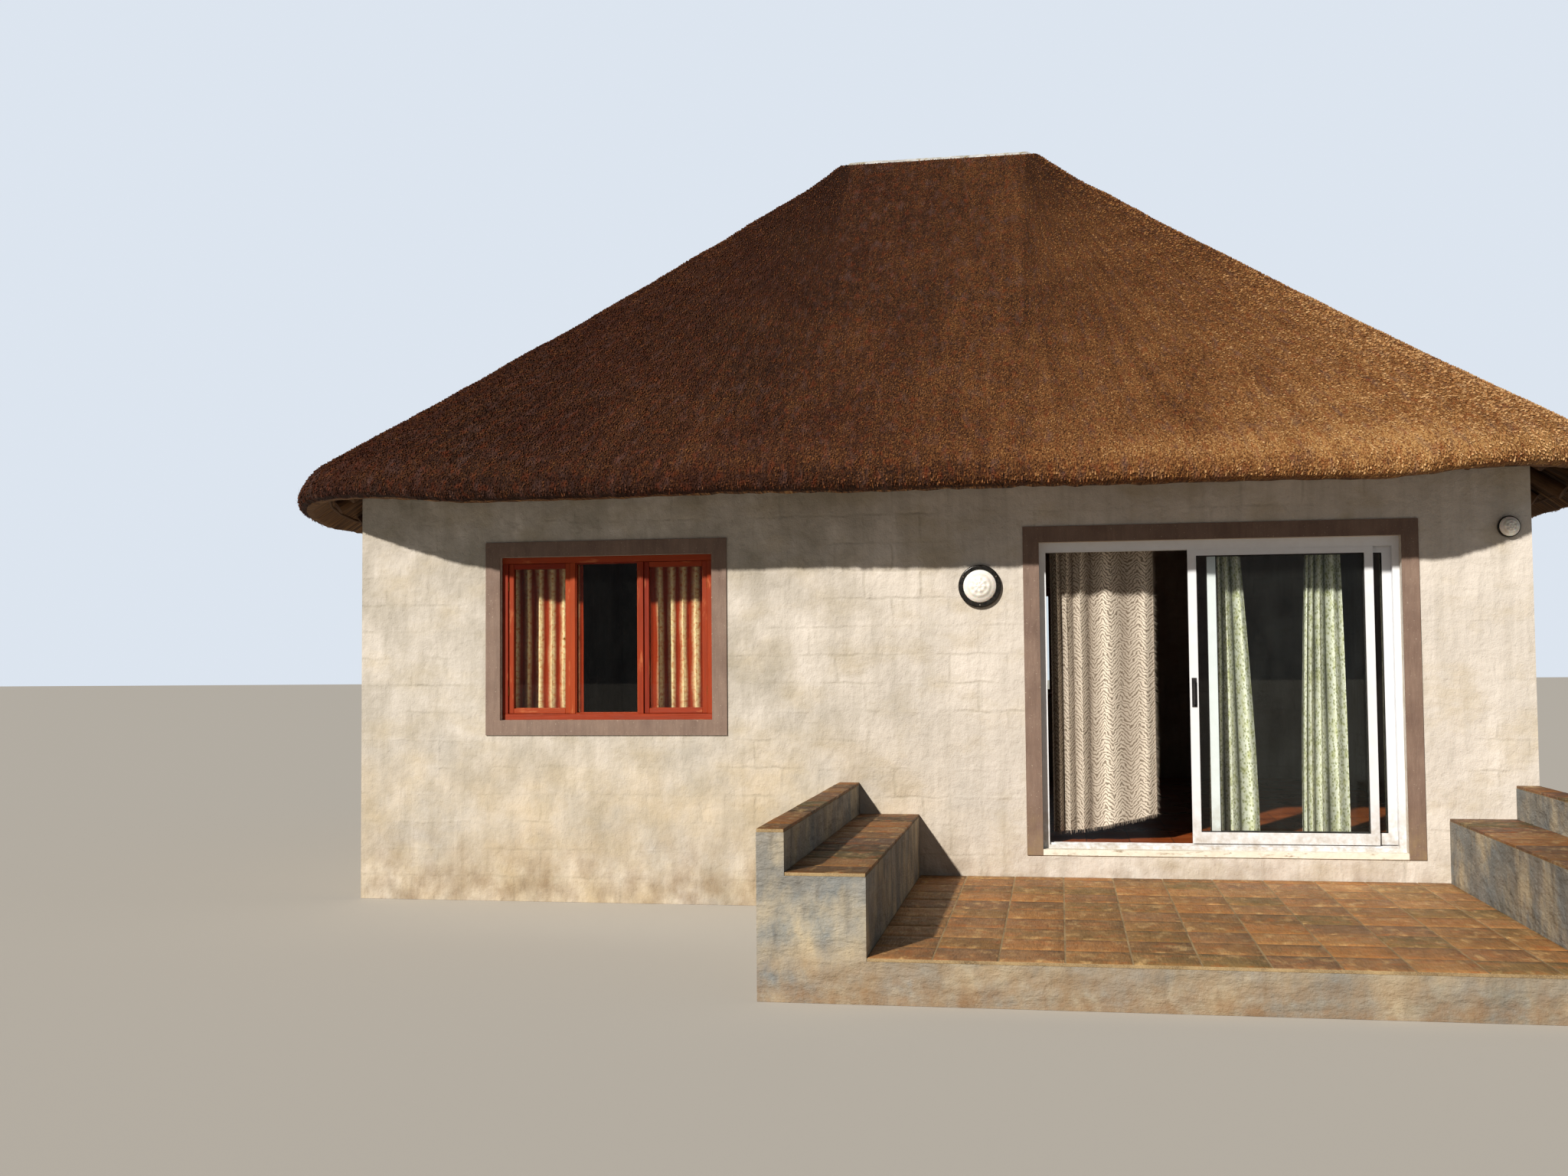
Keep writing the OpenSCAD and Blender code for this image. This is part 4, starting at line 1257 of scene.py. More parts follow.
@dataclass
class ThatchRoof:
    """The thatch as one continuous coat over all four slopes, with its cut butts."""

    half_x: float = 4.925
    half_y: float = 4.1
    corner_r: float = 1.8
    eave_h: float = 3.06
    ridge_h: float = 6.39
    ridge_half: float = 0.8
    thick_v: float = 0.2834
    lip_d: float = 0.11
    corner_lift: float = 0.10
    sag: float = 0.05
    crown_half_w: float = 0.11
    crown_lap: float = 0.036
    lath_room: float = 0.028
    lath_r: float = 0.0125
    lath_gap: float = 0.062
    lip_roll: float = 0.20
    column: float = 0.07
    rows_up: int = 70
    rows_lip: int = 10
    rows_under: int = 12
    butt_l: float = 0.065
    butt_r: float = 0.0058
    front_split: float = 0.3

    def __post_init__(self) -> None:
        """Work out the coat's grid, with the hollows and humps of hand-dressed thatch."""
        self.plan: np.ndarray = self.outline()
        grid = np.array([self.section(p) for p in self.plan])
        along = np.roll(grid, -1, 0) - np.roll(grid, 1, 0)
        down = np.roll(grid, -1, 1) - np.roll(grid, 1, 1)
        ways = [
            way / np.maximum(np.linalg.norm(way, axis=2), 1e-9)[:, :, None]
            for way in (np.cross(down, along), down)]
        self.normals: np.ndarray = ways[0]
        self.downhill: np.ndarray = ways[1]
        bumps = np.zeros(grid.shape[:2])
        for i in range(grid.shape[0]):
            for j in range(1, self.rows_up + self.rows_lip + 1):
                at = grid[i, j]
                ragged = 0.012 if j > self.rows_up - 2 else 0.004
                bumps[i, j] = (
                    0.011 * wander(at, 0.75) + 0.006 * wander(at, 0.22, 7.0) + ragged * wander(at, 0.07, 3.0))
        self.grid: np.ndarray = grid + self.normals * bumps[:, :, None]
        # Width along the eave and length down the slope, for the combed pattern
        ends = np.vstack([self.plan, self.plan[:1]])[:, :2]
        gone = np.concatenate([[0], np.cumsum(np.linalg.norm(np.diff(ends, axis=0), axis=1))])
        self.girth: float = gone[-1]
        drop = np.zeros(grid.shape[:2])
        drop[:, 1:] = np.cumsum(np.linalg.norm(np.diff(grid, axis=1), axis=2), axis=1)
        width = np.broadcast_to(gone[:-1, None], drop.shape)
        self.comb: np.ndarray = np.stack([width, drop, 0 * drop], axis=2)

    def outline(self) -> np.ndarray:
        """Walk round the eave, anticlockwise seen from above.

        Returns:
            For each step x, y and the share of the corner's lift.
        """
        a, b, r = self.half_x - self.corner_r, self.half_y - self.corner_r, self.corner_r
        at = np.array([-a, -self.half_y])
        steps: list[tuple[float, float, float]] = []
        for cx, cy, start in ((a, -b, -0.5), (a, b, 0.0), (-a, b, 0.5), (-a, -b, 1.0)):
            start *= math.pi
            to = np.array([cx + r * math.cos(start), cy + r * math.sin(start)])
            n = round(np.linalg.norm(to - at) / self.column)
            steps += [(*(at + (to - at) * i / n), 0.0) for i in range(n)]
            n = 2 * round(r * math.pi / 4 / self.column * 1.15)
            for t in start + np.arange(n) / n * math.pi / 2:
                steps.append((cx + r * math.cos(t), cy + r * math.sin(t), abs(math.sin(2 * t))))
            at = np.array([cx - r * math.sin(start), cy + r * math.cos(start)])
        # The walk starts in the middle of the back, where its seam shows least
        return np.roll(np.array(steps), len(steps) // 2, axis=0)

    def foot(self, p: np.ndarray) -> np.ndarray:
        """Give the point of the ridge that the thatch runs up to from an eave point."""
        return np.array([max(-self.ridge_half, min(self.ridge_half, p[0])), 0.0])

    def under_z(self, s: float, k: float) -> float:
        """Give the height of the underside at a share s of the way up."""
        eave = self.eave_h + self.corner_lift * k
        return eave + (self.ridge_h - eave) * s - self.thick_v

    def top_z(self, s: float, k: float) -> float:
        """Give the height of the upper face at a share s of the way up."""
        return self.under_z(s, k) + self.thick_v - 4 * self.sag * s * (1 - s)

    def section(self, p: np.ndarray) -> np.ndarray:
        """Draw the thatch's section above one eave point.

        Args:
            p: The eave point, as outline gives it.

        Returns:
            Points down the upper face, round the lip and up the underside.
        """
        q = self.foot(p)
        run = math.hypot(q[0] - p[0], q[1] - p[1])
        s_end = 1 - self.crown_half_w / self.half_y
        s_lip = self.lip_d / run
        s_roll = 1.6 * s_lip
        shares = np.linspace(s_end, s_roll, self.rows_up + 1).tolist()
        # The last reeds are packed up against the mortar and hide its lower edge
        heights = [
            self.top_z(s, p[2]) + self.crown_lap * max(0.0, 1 - 12 * (s_end - s)) ** 1.2 for s in shares]
        # The slope rolls over in one curve: down along the slope first, level at the bottom
        fall = (self.ridge_h - self.eave_h) / run
        reach = self.lip_roll / math.hypot(1, fall)
        low = self.under_z(s_lip, p[2])
        turn = (s_roll - reach / run, heights[-1] - reach * fall)
        bends = np.array([(s_roll, heights[-1]), turn, (-s_lip, low), (s_lip, low)])
        for t in np.arange(1, self.rows_lip) / self.rows_lip:
            s, z = np.array([(1 - t) ** 3, 3 * t * (1 - t) ** 2, 3 * t * t * (1 - t), t ** 3]) @ bends
            shares.append(s)
            heights.append(z)
        for i in range(self.rows_under + 1):
            shares.append(s_lip + (s_end - s_lip) * i / self.rows_under)
            heights.append(self.under_z(shares[-1], p[2]) + self.lath_room * min(1.0, i / 1.5))
        return np.column_stack([p[:2] + (q - p[:2]) * np.array(shares)[:, None], heights])

    def coat(self) -> Thing:
        """Build the body of the thatch.

        Returns:
            The closed ring of thatch under its butts.
        """
        n, m = self.grid.shape[:2]
        across = np.append(self.comb[:, 0, 0], self.girth)
        down = np.append(self.comb[:, :, 1], self.comb[:, -1:, 1] + 0.3, axis=1)
        faces = [tuple((i % n) * m + j % m for i, j in cell) for cell in cells(n, m)]
        uvs = [(across[i], down[i % n, j]) for cell in cells(n, m) for i, j in cell]
        store = Maker()
        store.add(self.grid.reshape(-1, 3), faces, uvs, 0.5)
        piece = store.finish(
            "thatch_coat", Thatch(ThatchSide.GROUND.value, ThatchSide.GROUND), 60)
        piece.data.materials.append(Thatch(ThatchSide.SOFFIT.value, ThatchSide.SOFFIT).material())
        below = [int(cell[0][1] >= self.rows_up + self.rows_lip - 1) for cell in cells(n, m)]
        piece.data.polygons.foreach_set("material_index", below)
        return piece

    def butts_pattern(self) -> Pattern:
        """Build the tree that stands reed butts on a skin of thatch.

        Returns:
            The pattern, with its sizes as named inputs.
        """
        made = Pattern("reed_butts", spacing=0.02, density=2000.0, length=self.butt_l,
                       radius=self.butt_r, proud=0.009, tumble=0.16, seed=1)
        given = made.given
        spread = made.add(
            "GeometryNodeDistributePointsOnFaces",
            {0: given["Geometry"], 2: given["spacing"], 3: given["density"], 6: given["seed"]},
            distribute_method="POISSON").node.outputs
        least = made.add("ShaderNodeMath", {0: given["proud"], 1: 0.25}, operation="MULTIPLY")
        lift = made.add(
            "FunctionNodeRandomValue", {2: least, 3: given["proud"], 8: given["seed"]}, 1, data_type="FLOAT")
        out = made.add("ShaderNodeVectorMath", {0: spread["Normal"], "Scale": lift}, operation="SCALE")
        raised = made.add("GeometryNodeSetPosition", {0: spread["Points"], "Offset": out})
        stub = made.add(
            "GeometryNodeMeshCone",
            {"Vertices": 3, "Side Segments": 1, "Radius Top": 0.0,
             "Radius Bottom": given["radius"], "Depth": given["length"]}, "Mesh")
        most = made.add("ShaderNodeCombineXYZ", {0: given["tumble"], 1: given["tumble"], 2: math.pi})
        least = made.add("ShaderNodeVectorMath", {0: most, "Scale": -1.0}, operation="SCALE")
        roll = made.add(
            "FunctionNodeRandomValue", {0: least, 1: most, 8: given["seed"]}, 0, data_type="FLOAT_VECTOR")
        size = made.add(
            "FunctionNodeRandomValue", {0: (0.65, 0.65, 0.6), 1: (1.35, 1.35, 1.3), 8: given["seed"]}, 0,
            data_type="FLOAT_VECTOR")
        turned = made.rolled(roll, made.facing("lay"))
        stubs = made.add(
            "GeometryNodeInstanceOnPoints",
            {"Points": raised, "Instance": stub, "Rotation": turned, "Scale": size})
        tone = made.add(
            "FunctionNodeRandomValue", {2: 0.22, 3: 0.80, 8: given["seed"]}, 1, data_type="FLOAT")
        return made.close(made.add(
            "GeometryNodeStoreNamedAttribute", {0: stubs, "Name": "tone", "Value": tone},
            data_type="FLOAT", domain="INSTANCE"))

    def skin(self, first: int, last: int, top: int, bottom: int) -> Thing:
        """Cut a part of the coat's outer face for butts to stand on.

        Args:
            first: The first column.
            last: The last column, which may pass the seam.
            top: The first row.
            bottom: The last row.

        Returns:
            The guide, with the direction in which each reed lies.
        """
        columns, rows = np.arange(first, last + 1) % len(self.plan), np.arange(top, bottom + 1)
        grid, normals, downhill, comb = [
            values[np.ix_(columns, rows)] for values in (self.grid, self.normals, self.downhill, self.comb)]
        comb[:, :, 0] = np.unwrap(comb[:, :, 0], axis=0, period=self.girth)
        # A reed dips into the thatch, so that its cut end shows
        dip = np.interp(rows, [self.rows_up - 4, self.rows_up + 5], [0.50, 0.80])[None, :, None]
        lay = -downhill - normals * dip
        lay /= np.linalg.norm(lay, axis=2)[:, :, None]
        m = len(rows)
        faces = [tuple(i * m + j for i, j in cell) for cell in cells(len(columns) - 1, m - 1)]
        return guide_mesh(
            grid.reshape(-1, 3), faces=faces, lay=lay.reshape(-1, 3), comb=comb.reshape(-1, 3))

    def cut(self, x: float, y: float) -> int:
        """Find the column nearest to a place on the eave."""
        return int(np.argmin(np.hypot(self.plan[:, 0] - x, self.plan[:, 1] - y)))

    def laths(self) -> Thing:
        """Run round laths across the rafters, under the reed.

        Returns:
            The laths as one piece.
        """
        made = Pattern("laths", radius=self.lath_r)
        bar = made.add("GeometryNodeCurvePrimitiveCircle", {"Resolution": 6, "Radius": made.given["radius"]})
        bars = made.add("GeometryNodeCurveToMesh", {
            "Curve": made.add("GeometryNodeMeshToCurve", {0: made.given["Geometry"]}),
            "Profile Curve": bar, "Fill Caps": True})
        points, edges = [], []
        ring = self.plan[::5]
        for level in np.arange(0.045, 0.93, self.lath_gap):
            start = len(points)
            for p in ring:
                x, y = p[:2] + (self.foot(p) - p[:2]) * level
                z = self.under_z(level, p[2]) + 0.0145
                points.append((x, y, z + 0.001 * wander((x, y, z), 0.3, 5.0)))
            edges += [(start + i, start + (i + 1) % len(ring)) for i in range(len(ring))]
        return made.close(bars).run(guide_mesh(points, edges), "roof_laths", GUM_POLE)

    def build(self) -> None:
        """Build the coat, its butts on every slope and the laths."""
        settle(self.coat(), HUT, "thatch", "thatch_front", "thatch_back", "thatch_left", "thatch_right")
        butts, finish = self.butts_pattern(), Thatch(ThatchSide.BUTTS.value)
        n = len(self.plan)
        hip = self.corner_r * (1 - math.sqrt(0.5))
        hx, hy = self.half_x - hip, self.half_y - hip
        middle = self.cut(self.front_split, -self.half_y)
        front_right, back_right = self.cut(hx, -hy), self.cut(hx, hy)
        back_left, front_left = self.cut(-hx, hy), self.cut(-hx, -hy)
        bottom = self.rows_up + self.rows_lip - 2
        for seed, (side, first, last, spacing) in enumerate((
                ("front_left", front_left, middle, 0.0137), ("front_right", middle, front_right, 0.0137),
                ("right", front_right, back_right, 0.0177), ("back", back_right, back_left + n, 0.0205),
                ("left", back_left, front_left, 0.0190)), 11):
            settle(butts.run(
                self.skin(first, last, 0, bottom), f"thatch_butts_{side}", finish,
                spacing=spacing, density=1.0 / spacing ** 2, seed=seed), HUT, "thatch")
        settle(butts.run(
            self.skin(0, n, self.rows_up + 3, bottom + 1), "thatch_eave_straws", finish, spacing=0.034,
            density=860.0, seed=31, length=0.09, radius=0.0022, proud=0.012, tumble=0.55), HUT, "thatch")
        settle(self.laths(), HUT, "pole")


# -------- roof timbers and ridge


@dataclass
class RoofTimbers:
    """Crooked, tapering poles where the CAD has straight ones, and sawn wall plates."""

    sides: int = 10
    steps: int = 12
    bow: float = 0.006
    taper: float = 0.10

    def pole(self, store: Maker, solid: np.ndarray, number: int) -> None:
        """Add a natural pole along a straight CAD one.

        Args:
            store: Where the pole goes.
            solid: The vertices of the CAD pole.
            number: Tells this pole from the others.
        """
        middle = solid.mean(0)
        axis = np.linalg.svd(solid - middle, full_matrices=False)[2][0]
        if axis[2] < 0:
            axis = -axis
        reach = (solid - middle) @ axis
        radius = np.linalg.norm((solid - middle) - np.outer(reach, axis), axis=1).max()
        share = np.linspace(0, 1, self.steps)
        path = middle + np.outer(reach.min() + (reach.max() - reach.min()) * share, axis)
        side = np.cross(axis, [0, 0, 1.0])
        if np.linalg.norm(side) < 1e-6:
            side = np.array([0.0, 1.0, 0.0])
        side /= np.linalg.norm(side)
        swing = np.array([wander((number * 3.1, s * 2.2, 0), 1.0) for s in share])
        path += np.outer(self.bow * np.sin(math.pi * share) * swing, side)
        radii = radius * (0.985 - self.taper * share) + 0.0015 * np.array(
            [wander((number * 1.7, s * 9.0, 4.0), 1.0) for s in share])
        # The thinner end still bears on the thatch above it
        lift = np.cross(side, axis)
        path += np.outer(radius - radii, lift * math.copysign(0.9, lift[2]))
        store.tube(path, radii, self.sides, (number * 0.618) % 1.0)

    def build(self) -> None:
        """Build the poles of each slope, the ridge pole and the plates."""
        for node in ("rafters_front", "rafters_back", "rafters_left", "rafters_right", "ridge_pole"):
            store = Maker()
            for number, solid in enumerate(islands(node), 1):
                self.pole(store, solid, number)
            settle(store.finish(f"{node}_natural", GUM_POLE, smooth=50), HUT, "pole", node)
        store = Maker()
        for number, solid in enumerate(islands("wall_plates")):
            low, high = solid.min(0), solid.max(0)
            store.beam(low, high, int(np.argmax(high - low)), 0.004, number * 0.27)
        settle(store.finish("wall_plates_sawn", SAWN_PINE), HUT, "plate_timber", "wall_plates")


@dataclass
class RidgeCapping:
    """Mortar laid by hand along the ridge."""

    voxel: float = 0.016
    rough: float = 0.007

    def build(self) -> None:
        """Copy the CAD capping, remesh it and knead its surface."""
        mesh = bpy.data.meshes.new("capping_before_remesh")
        grid = merged("ridge_cap")
        grid.to_mesh(mesh)
        grid.free()
        rough = show(mesh.name, mesh)
        remesh = rough.modifiers.new("remesh", "REMESH")
        remesh.mode = "VOXEL"
        remesh.voxel_size = self.voxel
        graph = bpy.context.evaluated_depsgraph_get()
        fine = bpy.data.meshes.new_from_object(rough.evaluated_get(graph), depsgraph=graph)
        bpy.data.objects.remove(rough)
        fine.name = "ridge_capping"
        points, normals = np.empty((2, len(fine.vertices) * 3), np.float32)
        fine.vertices.foreach_get("co", points)
        fine.vertices.foreach_get("normal", normals)
        lumps = np.array([
            0.6 * wander(p, 0.16) + 0.4 * wander(p, 0.05, 9.0) - 0.35
            for p in points.reshape(-1, 3).tolist()])
        fine.vertices.foreach_set("co", points + normals * np.repeat(lumps * self.rough, 3))
        fine.materials.clear()
        fine.materials.append(RidgeMortar().material())
        fine.polygons.foreach_set("use_smooth", [True] * len(fine.polygons))
        fine.update()
        settle(show("ridge_capping", fine), HUT, "mortar_cap", "ridge_cap")


# -------- walls and stoep


@dataclass
class Masonry:
    """The walls, bands, floor and seats, which keep their CAD shapes."""

    walls: tuple[str, ...] = (
        "front_wall_left", "front_wall_right", "front_wall_over_door", "door_step",
        "left_wall", "right_wall", "back_wall")
    bands: tuple[str, ...] = ("window_bands", "door_band")
    rendered: tuple[str, ...] = ("stoep_slab", "left_seat_wall", "right_seat_wall")

    def build(self) -> None:
        """Give each mass of masonry its finish."""
        for finish, nodes in (
                (BaggedPlaster(), self.walls), (BAND_PLASTER, self.bands), (TROWELLED_RENDER, self.rendered),
                (Terracotta(), ("floor_slab",)), (PAINTED_SILL, ("door_sill",))):
            for node in nodes:
                dress(node, finish)


@dataclass
class SlatePaving:
    """Riven slates, laid one by one in grout on the stoep, the seats and the low walls."""

    tile: float = 0.33
    joint: float = 0.009
    bed_low: float = 0.0030
    edge: float = 0.0025
    riven: float = 0.0014
    uneven: float = 0.0008
    least_cut: float = 0.04
    split: int = 4

    def slate(self, store: Maker, low: Point, high: Point, number: int) -> None:
        """Add one slate with a split upper face and worn arrises.

        Args:
            store: Where the slate goes.
            low: Its lowest corner.
            high: Its highest corner.
            number: Tells this slate from the others.
        """
        n, e = self.split, self.edge
        x0, y0, z0 = low
        x1, y1, z1 = high
        z1 += self.uneven * math.sin(number * 1.9)
        points = []
        for a, b in product(np.linspace(0, 1, n + 1), repeat=2):
            x, y = x0 + e + (x1 - x0 - 2 * e) * a, y0 + e + (y1 - y0 - 2 * e) * b
            points.append((x, y, z1 - self.riven * (0.5 + 0.5 * wander((x, y, number), 0.07))))
        way = range(n)
        rim = [(i, 0) for i in way] + [(n, i) for i in way]
        rim += [(n - i, n) for i in way] + [(0, n - i) for i in way]
        start, count = len(points), len(rim)
        for i, j in rim:
            chip = 0.0012 * wander((x0 + i, y0 + j, number * 0.7), 0.9)
            points.append((
                x0 + (x1 - x0) * i / n + (chip if 0 < i < n else 0),
                y0 + (y1 - y0) * j / n + (chip if 0 < j < n else 0), z1 - e))
        points += [(x, y, z0) for x, y, _ in points[start:]]
        faces = [tuple(i * (n + 1) + j for i, j in reversed(cell)) for cell in cells(n, n)]
        for k, (i, j) in enumerate(rim):
            m = (k + 1) % count
            near, far = i * (n + 1) + j, rim[m][0] * (n + 1) + rim[m][1]
            k, m = start + k, start + m
            faces += [(near, k, m, far), (k, k + count, m + count, m)]
        faces.append(tuple(range(start + 2 * count - 1, start + count - 1, -1)))
        tone = (number * 0.618034 + 0.13 * math.sin(number * 2.3)) % 1.0
        store.add(np.array(points), faces, [points[i][:2] for f in faces for i in f], tone)

    def course(self, start: float, end: float, shift: float = 0.0) -> list[tuple[float, float]]:
        """Divide a length into slates, with cut ones at its ends.

        Args:
            start: Where the length starts.
            end: Where it ends.
            shift: How far the first joint is moved.

        Returns:
            The start and end of each slate.
        """
        joints = np.arange(start + self.tile - shift, end - self.least_cut, self.tile)
        cuts = [start, *(at for at in joints if at > start + self.least_cut), end]
        return [(a + self.joint / 2, b - self.joint / 2) for a, b in zip(cuts, cuts[1:])]

    def field(self, slates: Maker, bed: Maker, low: Point, high: Point, number: int) -> int:
        """Pave a rectangle, its outer slates flush with the masonry.

        Args:
            slates: Where the slates go.
            bed: Where the grout goes.
            low: The paving's lowest corner.
            high: Its highest corner.
            number: The number of the first slate.

        Returns:
            The number after the last slate.
        """
        x0, y0, z0 = low
        x1, y1, z1 = high
        single = x1 - x0 < self.tile * 1.35
        for xa, xb in [(x0 + 0.0015, x1 - 0.0015)] if single else self.course(x0, x1):
            for ya, yb in self.course(y0, y1, 0.07 if single else 0.0):
                self.slate(slates, (xa, ya, z0 + 0.004), (xb, yb, z1), number)
                number += 1
        bed.beam((x0 + 0.002, y0 + 0.003, z0), (x1 - 0.002, y1 - 0.001, z1 - self.bed_low), 1, 0.001)
        return number

    def build(self) -> None:
        """Pave the stoep, the seats and the low walls."""
        for place, number in (("stoep", 1), ("seat", 301)):
            slates, bed = Maker(), Maker()
            for solid in islands(f"{place}_tiles"):
                number = self.field(slates, bed, solid.min(0), solid.max(0), number)
            paved = slates.finish(f"{place}_slates", RivenSlate(), smooth=40)
            settle(paved, HUT, "slate_tile", f"{place}_tiles")
            settle(bed.finish(f"{place}_grout", SANDY_GROUT), HUT, "slate_tile")


# -------- windows


@dataclass
class TimberWindow:
    """A three-light timber window: two casements beside a fixed middle light."""

    place: Matrix
    tone: float = 0.0
    width: float = 1.6
    height: float = 1.2
    frame_face: float = 0.045
    mullion_w: float = 0.04
    frame_depth: float = 0.07
    recess: float = 0.04
    sash_face: float = 0.038
    sash_depth: float = 0.04
    rebate: float = 0.008
    bead: float = 0.011
    sash_gap: float = 0.0015
    hinge_h: float = 0.065
    hinge_z: float = 0.18

    def members(self, store: Maker, corners: Sequence[tuple[Point, Point, int]],
                edge: float = 0.0025) -> None:
        """Add members, each with its own piece of grain.

        Args:
            store: Where the members go.
            corners: What border gives.
            edge: Width taken off their edges.
        """
        for low, high, along in corners:
            self.tone = (self.tone + 0.382) % 1.0
            store.beam(low, high, along, edge, self.tone, self.place)

    def light(self, i: int) -> tuple[float, float]:
        """Measure a light.

        Args:
            i: The light, 0, 1 or 2 from the left.

        Returns:
            Its left and right edge.
        """
        clear = (self.width - 2 * self.frame_face - 2 * self.mullion_w) / 3
        left = self.frame_face + i * (clear + self.mullion_w)
        return left, left + clear

    def frame_members(self, store: Maker) -> None:
        """Add the frame: jambs, head, cill, mullions, and the middle light's stops and beads.

        Args:
            store: Where the frame goes.
        """
        f, w, h, bead = self.frame_face, self.width, self.height, self.bead
        y0, y1 = self.recess, self.recess + self.frame_depth
        self.members(store, border(0, 0, w, h, y0, y1, f, step=0.0004))
        x0, x1 = self.light(1)
        middle = y0 + self.frame_depth / 2
        self.members(store, [
            ((x, y0 + 0.0004, f), (x + self.mullion_w, y1 - 0.0004, h - f), 2)
            for x in (x0 - self.mullion_w, x1)])
        self.members(store, border(x0, f, x1, h - f, y0 + 0.006, middle, self.rebate), 0.0015)
        y, e = middle + 0.0052, 0.0005
        self.members(store, border(x0 + e, f + e, x1 - e, h - f - e, y, y + bead, bead), 0.002)

    def sash(self, store: Maker, i: int) -> None:
        """Add a casement in a light: stiles through, rails between them, and its beads.

        Args:
            store: Where the casement goes.
            i: The light.
        """
        left, right = self.light(i)
        x0, x1 = left + self.sash_gap, right - self.sash_gap
        z0, z1 = self.frame_face + self.sash_gap, self.height - self.frame_face - self.sash_gap
        y0 = self.recess + (self.frame_depth - self.sash_depth) / 2
        half, y1 = y0 + self.sash_depth / 2, y0 + self.sash_depth
        inner = self.sash_face - self.rebate
        self.members(store, border(x0, z0, x1, z1, y0, half, self.sash_face, True, 0.0003))
        self.members(store, border(x0, z0, x1, z1, half, y1, inner, True, 0.0003), 0.002)
        y, e = half + 0.0052, inner + 0.0005
        self.members(store, border(x0 + e, z0 + e, x1 - e, z1 - e, y, y + self.bead, self.bead), 0.002)

    def fittings(self, store: Maker) -> None:
        """Add hinge knuckles outside, and a stay and a fastener inside.

        Args:
            store: Where the fittings go.
        """
        y = self.recess + (self.frame_depth - self.sash_depth) / 2
        inside = y + self.sash_depth
        for i in (0, 2):
            x0, x1 = self.light(i)
            hinge, near = (x0 + 0.001, x1 - 0.02) if i == 0 else (x1 - 0.001, x0 + 0.02)
            for z in (self.hinge_z, self.height - self.hinge_z - self.hinge_h):
                barrel = self.place @ Matrix.Translation((hinge, y - 0.003, z))
                store.turned([(0, 0), (0.0042, 0), (0.0042, self.hinge_h), (0, self.hinge_h)], barrel, 10)
            stay, z = (x0 + x1) / 2, self.frame_face
            for low, high, along in (
                    ((near - 0.009, inside, 0.56), (near + 0.009, inside + 0.005, 0.63), 2),
                    ((near - 0.05, inside + 0.005, 0.59), (near + 0.012, inside + 0.013, 0.604), 0),
                    ((stay - 0.13, inside + 0.002, z + 0.012), (stay + 0.13, inside + 0.008, z + 0.026), 0)):
                store.beam(low, high, along, 0.0015, place=self.place)


@dataclass
class Windows:
    """The front window and the two at the back, which share their finishes."""

    face_y: float = -3.3

    def places(self) -> list[Matrix]:
        """Read where each window's lower left corner stands from the CAD frames.

        Returns:
            The places, with local X along the wall and local Y into it.
        """
        found = []
        for solid in islands("window_frames"):
            low, high = solid.min(0), solid.max(0)
            if low[1] < 0:
                found.append(Matrix.Translation((low[0], self.face_y, low[2])))
            else:
                found.append(
                    Matrix.Translation((high[0], -self.face_y, low[2])) @ Matrix.Rotation(math.pi, 4, "Z"))
        return found

    def build(self) -> None:
        """Build the frames, sashes and fittings, and glaze them."""
        frames, sashes, fittings = Maker(), Maker(), Maker()
        for number, place in enumerate(self.places()):
            window = TimberWindow(place, 0.2 * number)
            window.frame_members(frames)
            for i in (0, 2):
                window.sash(sashes, i)
            window.fittings(fittings)
        for store, part in ((frames, "frames"), (sashes, "sashes")):
            joined = store.finish(f"window_{part}_joined", VARNISHED_TIMBER)
            settle(joined, HUT, "window_timber", f"window_{part}")
        settle(fittings.finish("window_fittings", BRASS, smooth=40), HUT, "window_timber")
        dress("window_glass", FloatGlass("clear_window_glass", 0.004))


# -------- door


def screws() -> Pattern:
    """Build the tree that sets a pan-head screw at each point.

    Returns:
        The pattern, with its sizes as named inputs.
    """
    made = Pattern("screws", radius=0.0035, height=0.0016)
    head = made.add(
        "GeometryNodeMeshCone",
        {"Vertices": 10, "Side Segments": 1, "Radius Top": 0.0022,
         "Radius Bottom": made.given["radius"], "Depth": made.given["height"]}, "Mesh")
    return made.hang(head, Rotation=made.facing("out"))


@dataclass
class DoorPanel:
    """The small parts on one panel of the sliding door."""

    body: str
    node: str
    panel_h: float = 2.032
    stile: float = 0.058
    top_rail: float = 0.058
    bottom_rail: float = 0.078
    strip_w: float = 0.006
    sunk: float = 0.0025
    glass_half: float = 0.0033
    screws_up: tuple[float, float] = (0.025, 0.055)
    screws_down: tuple[float, float] = (0.018, 0.042)

    def build(self, pattern: Pattern) -> None:
        """Lay glazing rubber round the pane, outside and inside, and set the corner screws.

        Args:
            pattern: What screws gives.
        """
        low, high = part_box(self.node)
        bottom, middle = high.z - self.panel_h, (low.y + high.y) / 2
        pane = (low.x + self.stile, bottom + self.bottom_rail, high.x - self.stile, high.z - self.top_rail)
        outside = (low.y + self.sunk, middle - self.glass_half)
        inside = (middle + self.glass_half, high.y - self.sunk)
        rubber = Maker()
        for faces in (outside, inside):
            for a, b, along in border(*pane, *faces, self.strip_w):
                rubber.beam(a, b, along, 0.0015)
        settle(rubber.finish(f"{self.node}_rubber", GLAZING_RUBBER), self.body, "white_aluminium")
        levels = [bottom + up for up in self.screws_up] + [high.z - down for down in self.screws_down]
        heads = [
            (x, high.y, z) for x in (low.x + self.stile / 2, high.x - self.stile / 2) for z in levels]
        guide = guide_mesh(heads, out=[(0, 1, 0)] * len(heads))
        settle(pattern.run(guide, f"{self.node}_screws", DULL_STEEL), self.body, "white_aluminium")


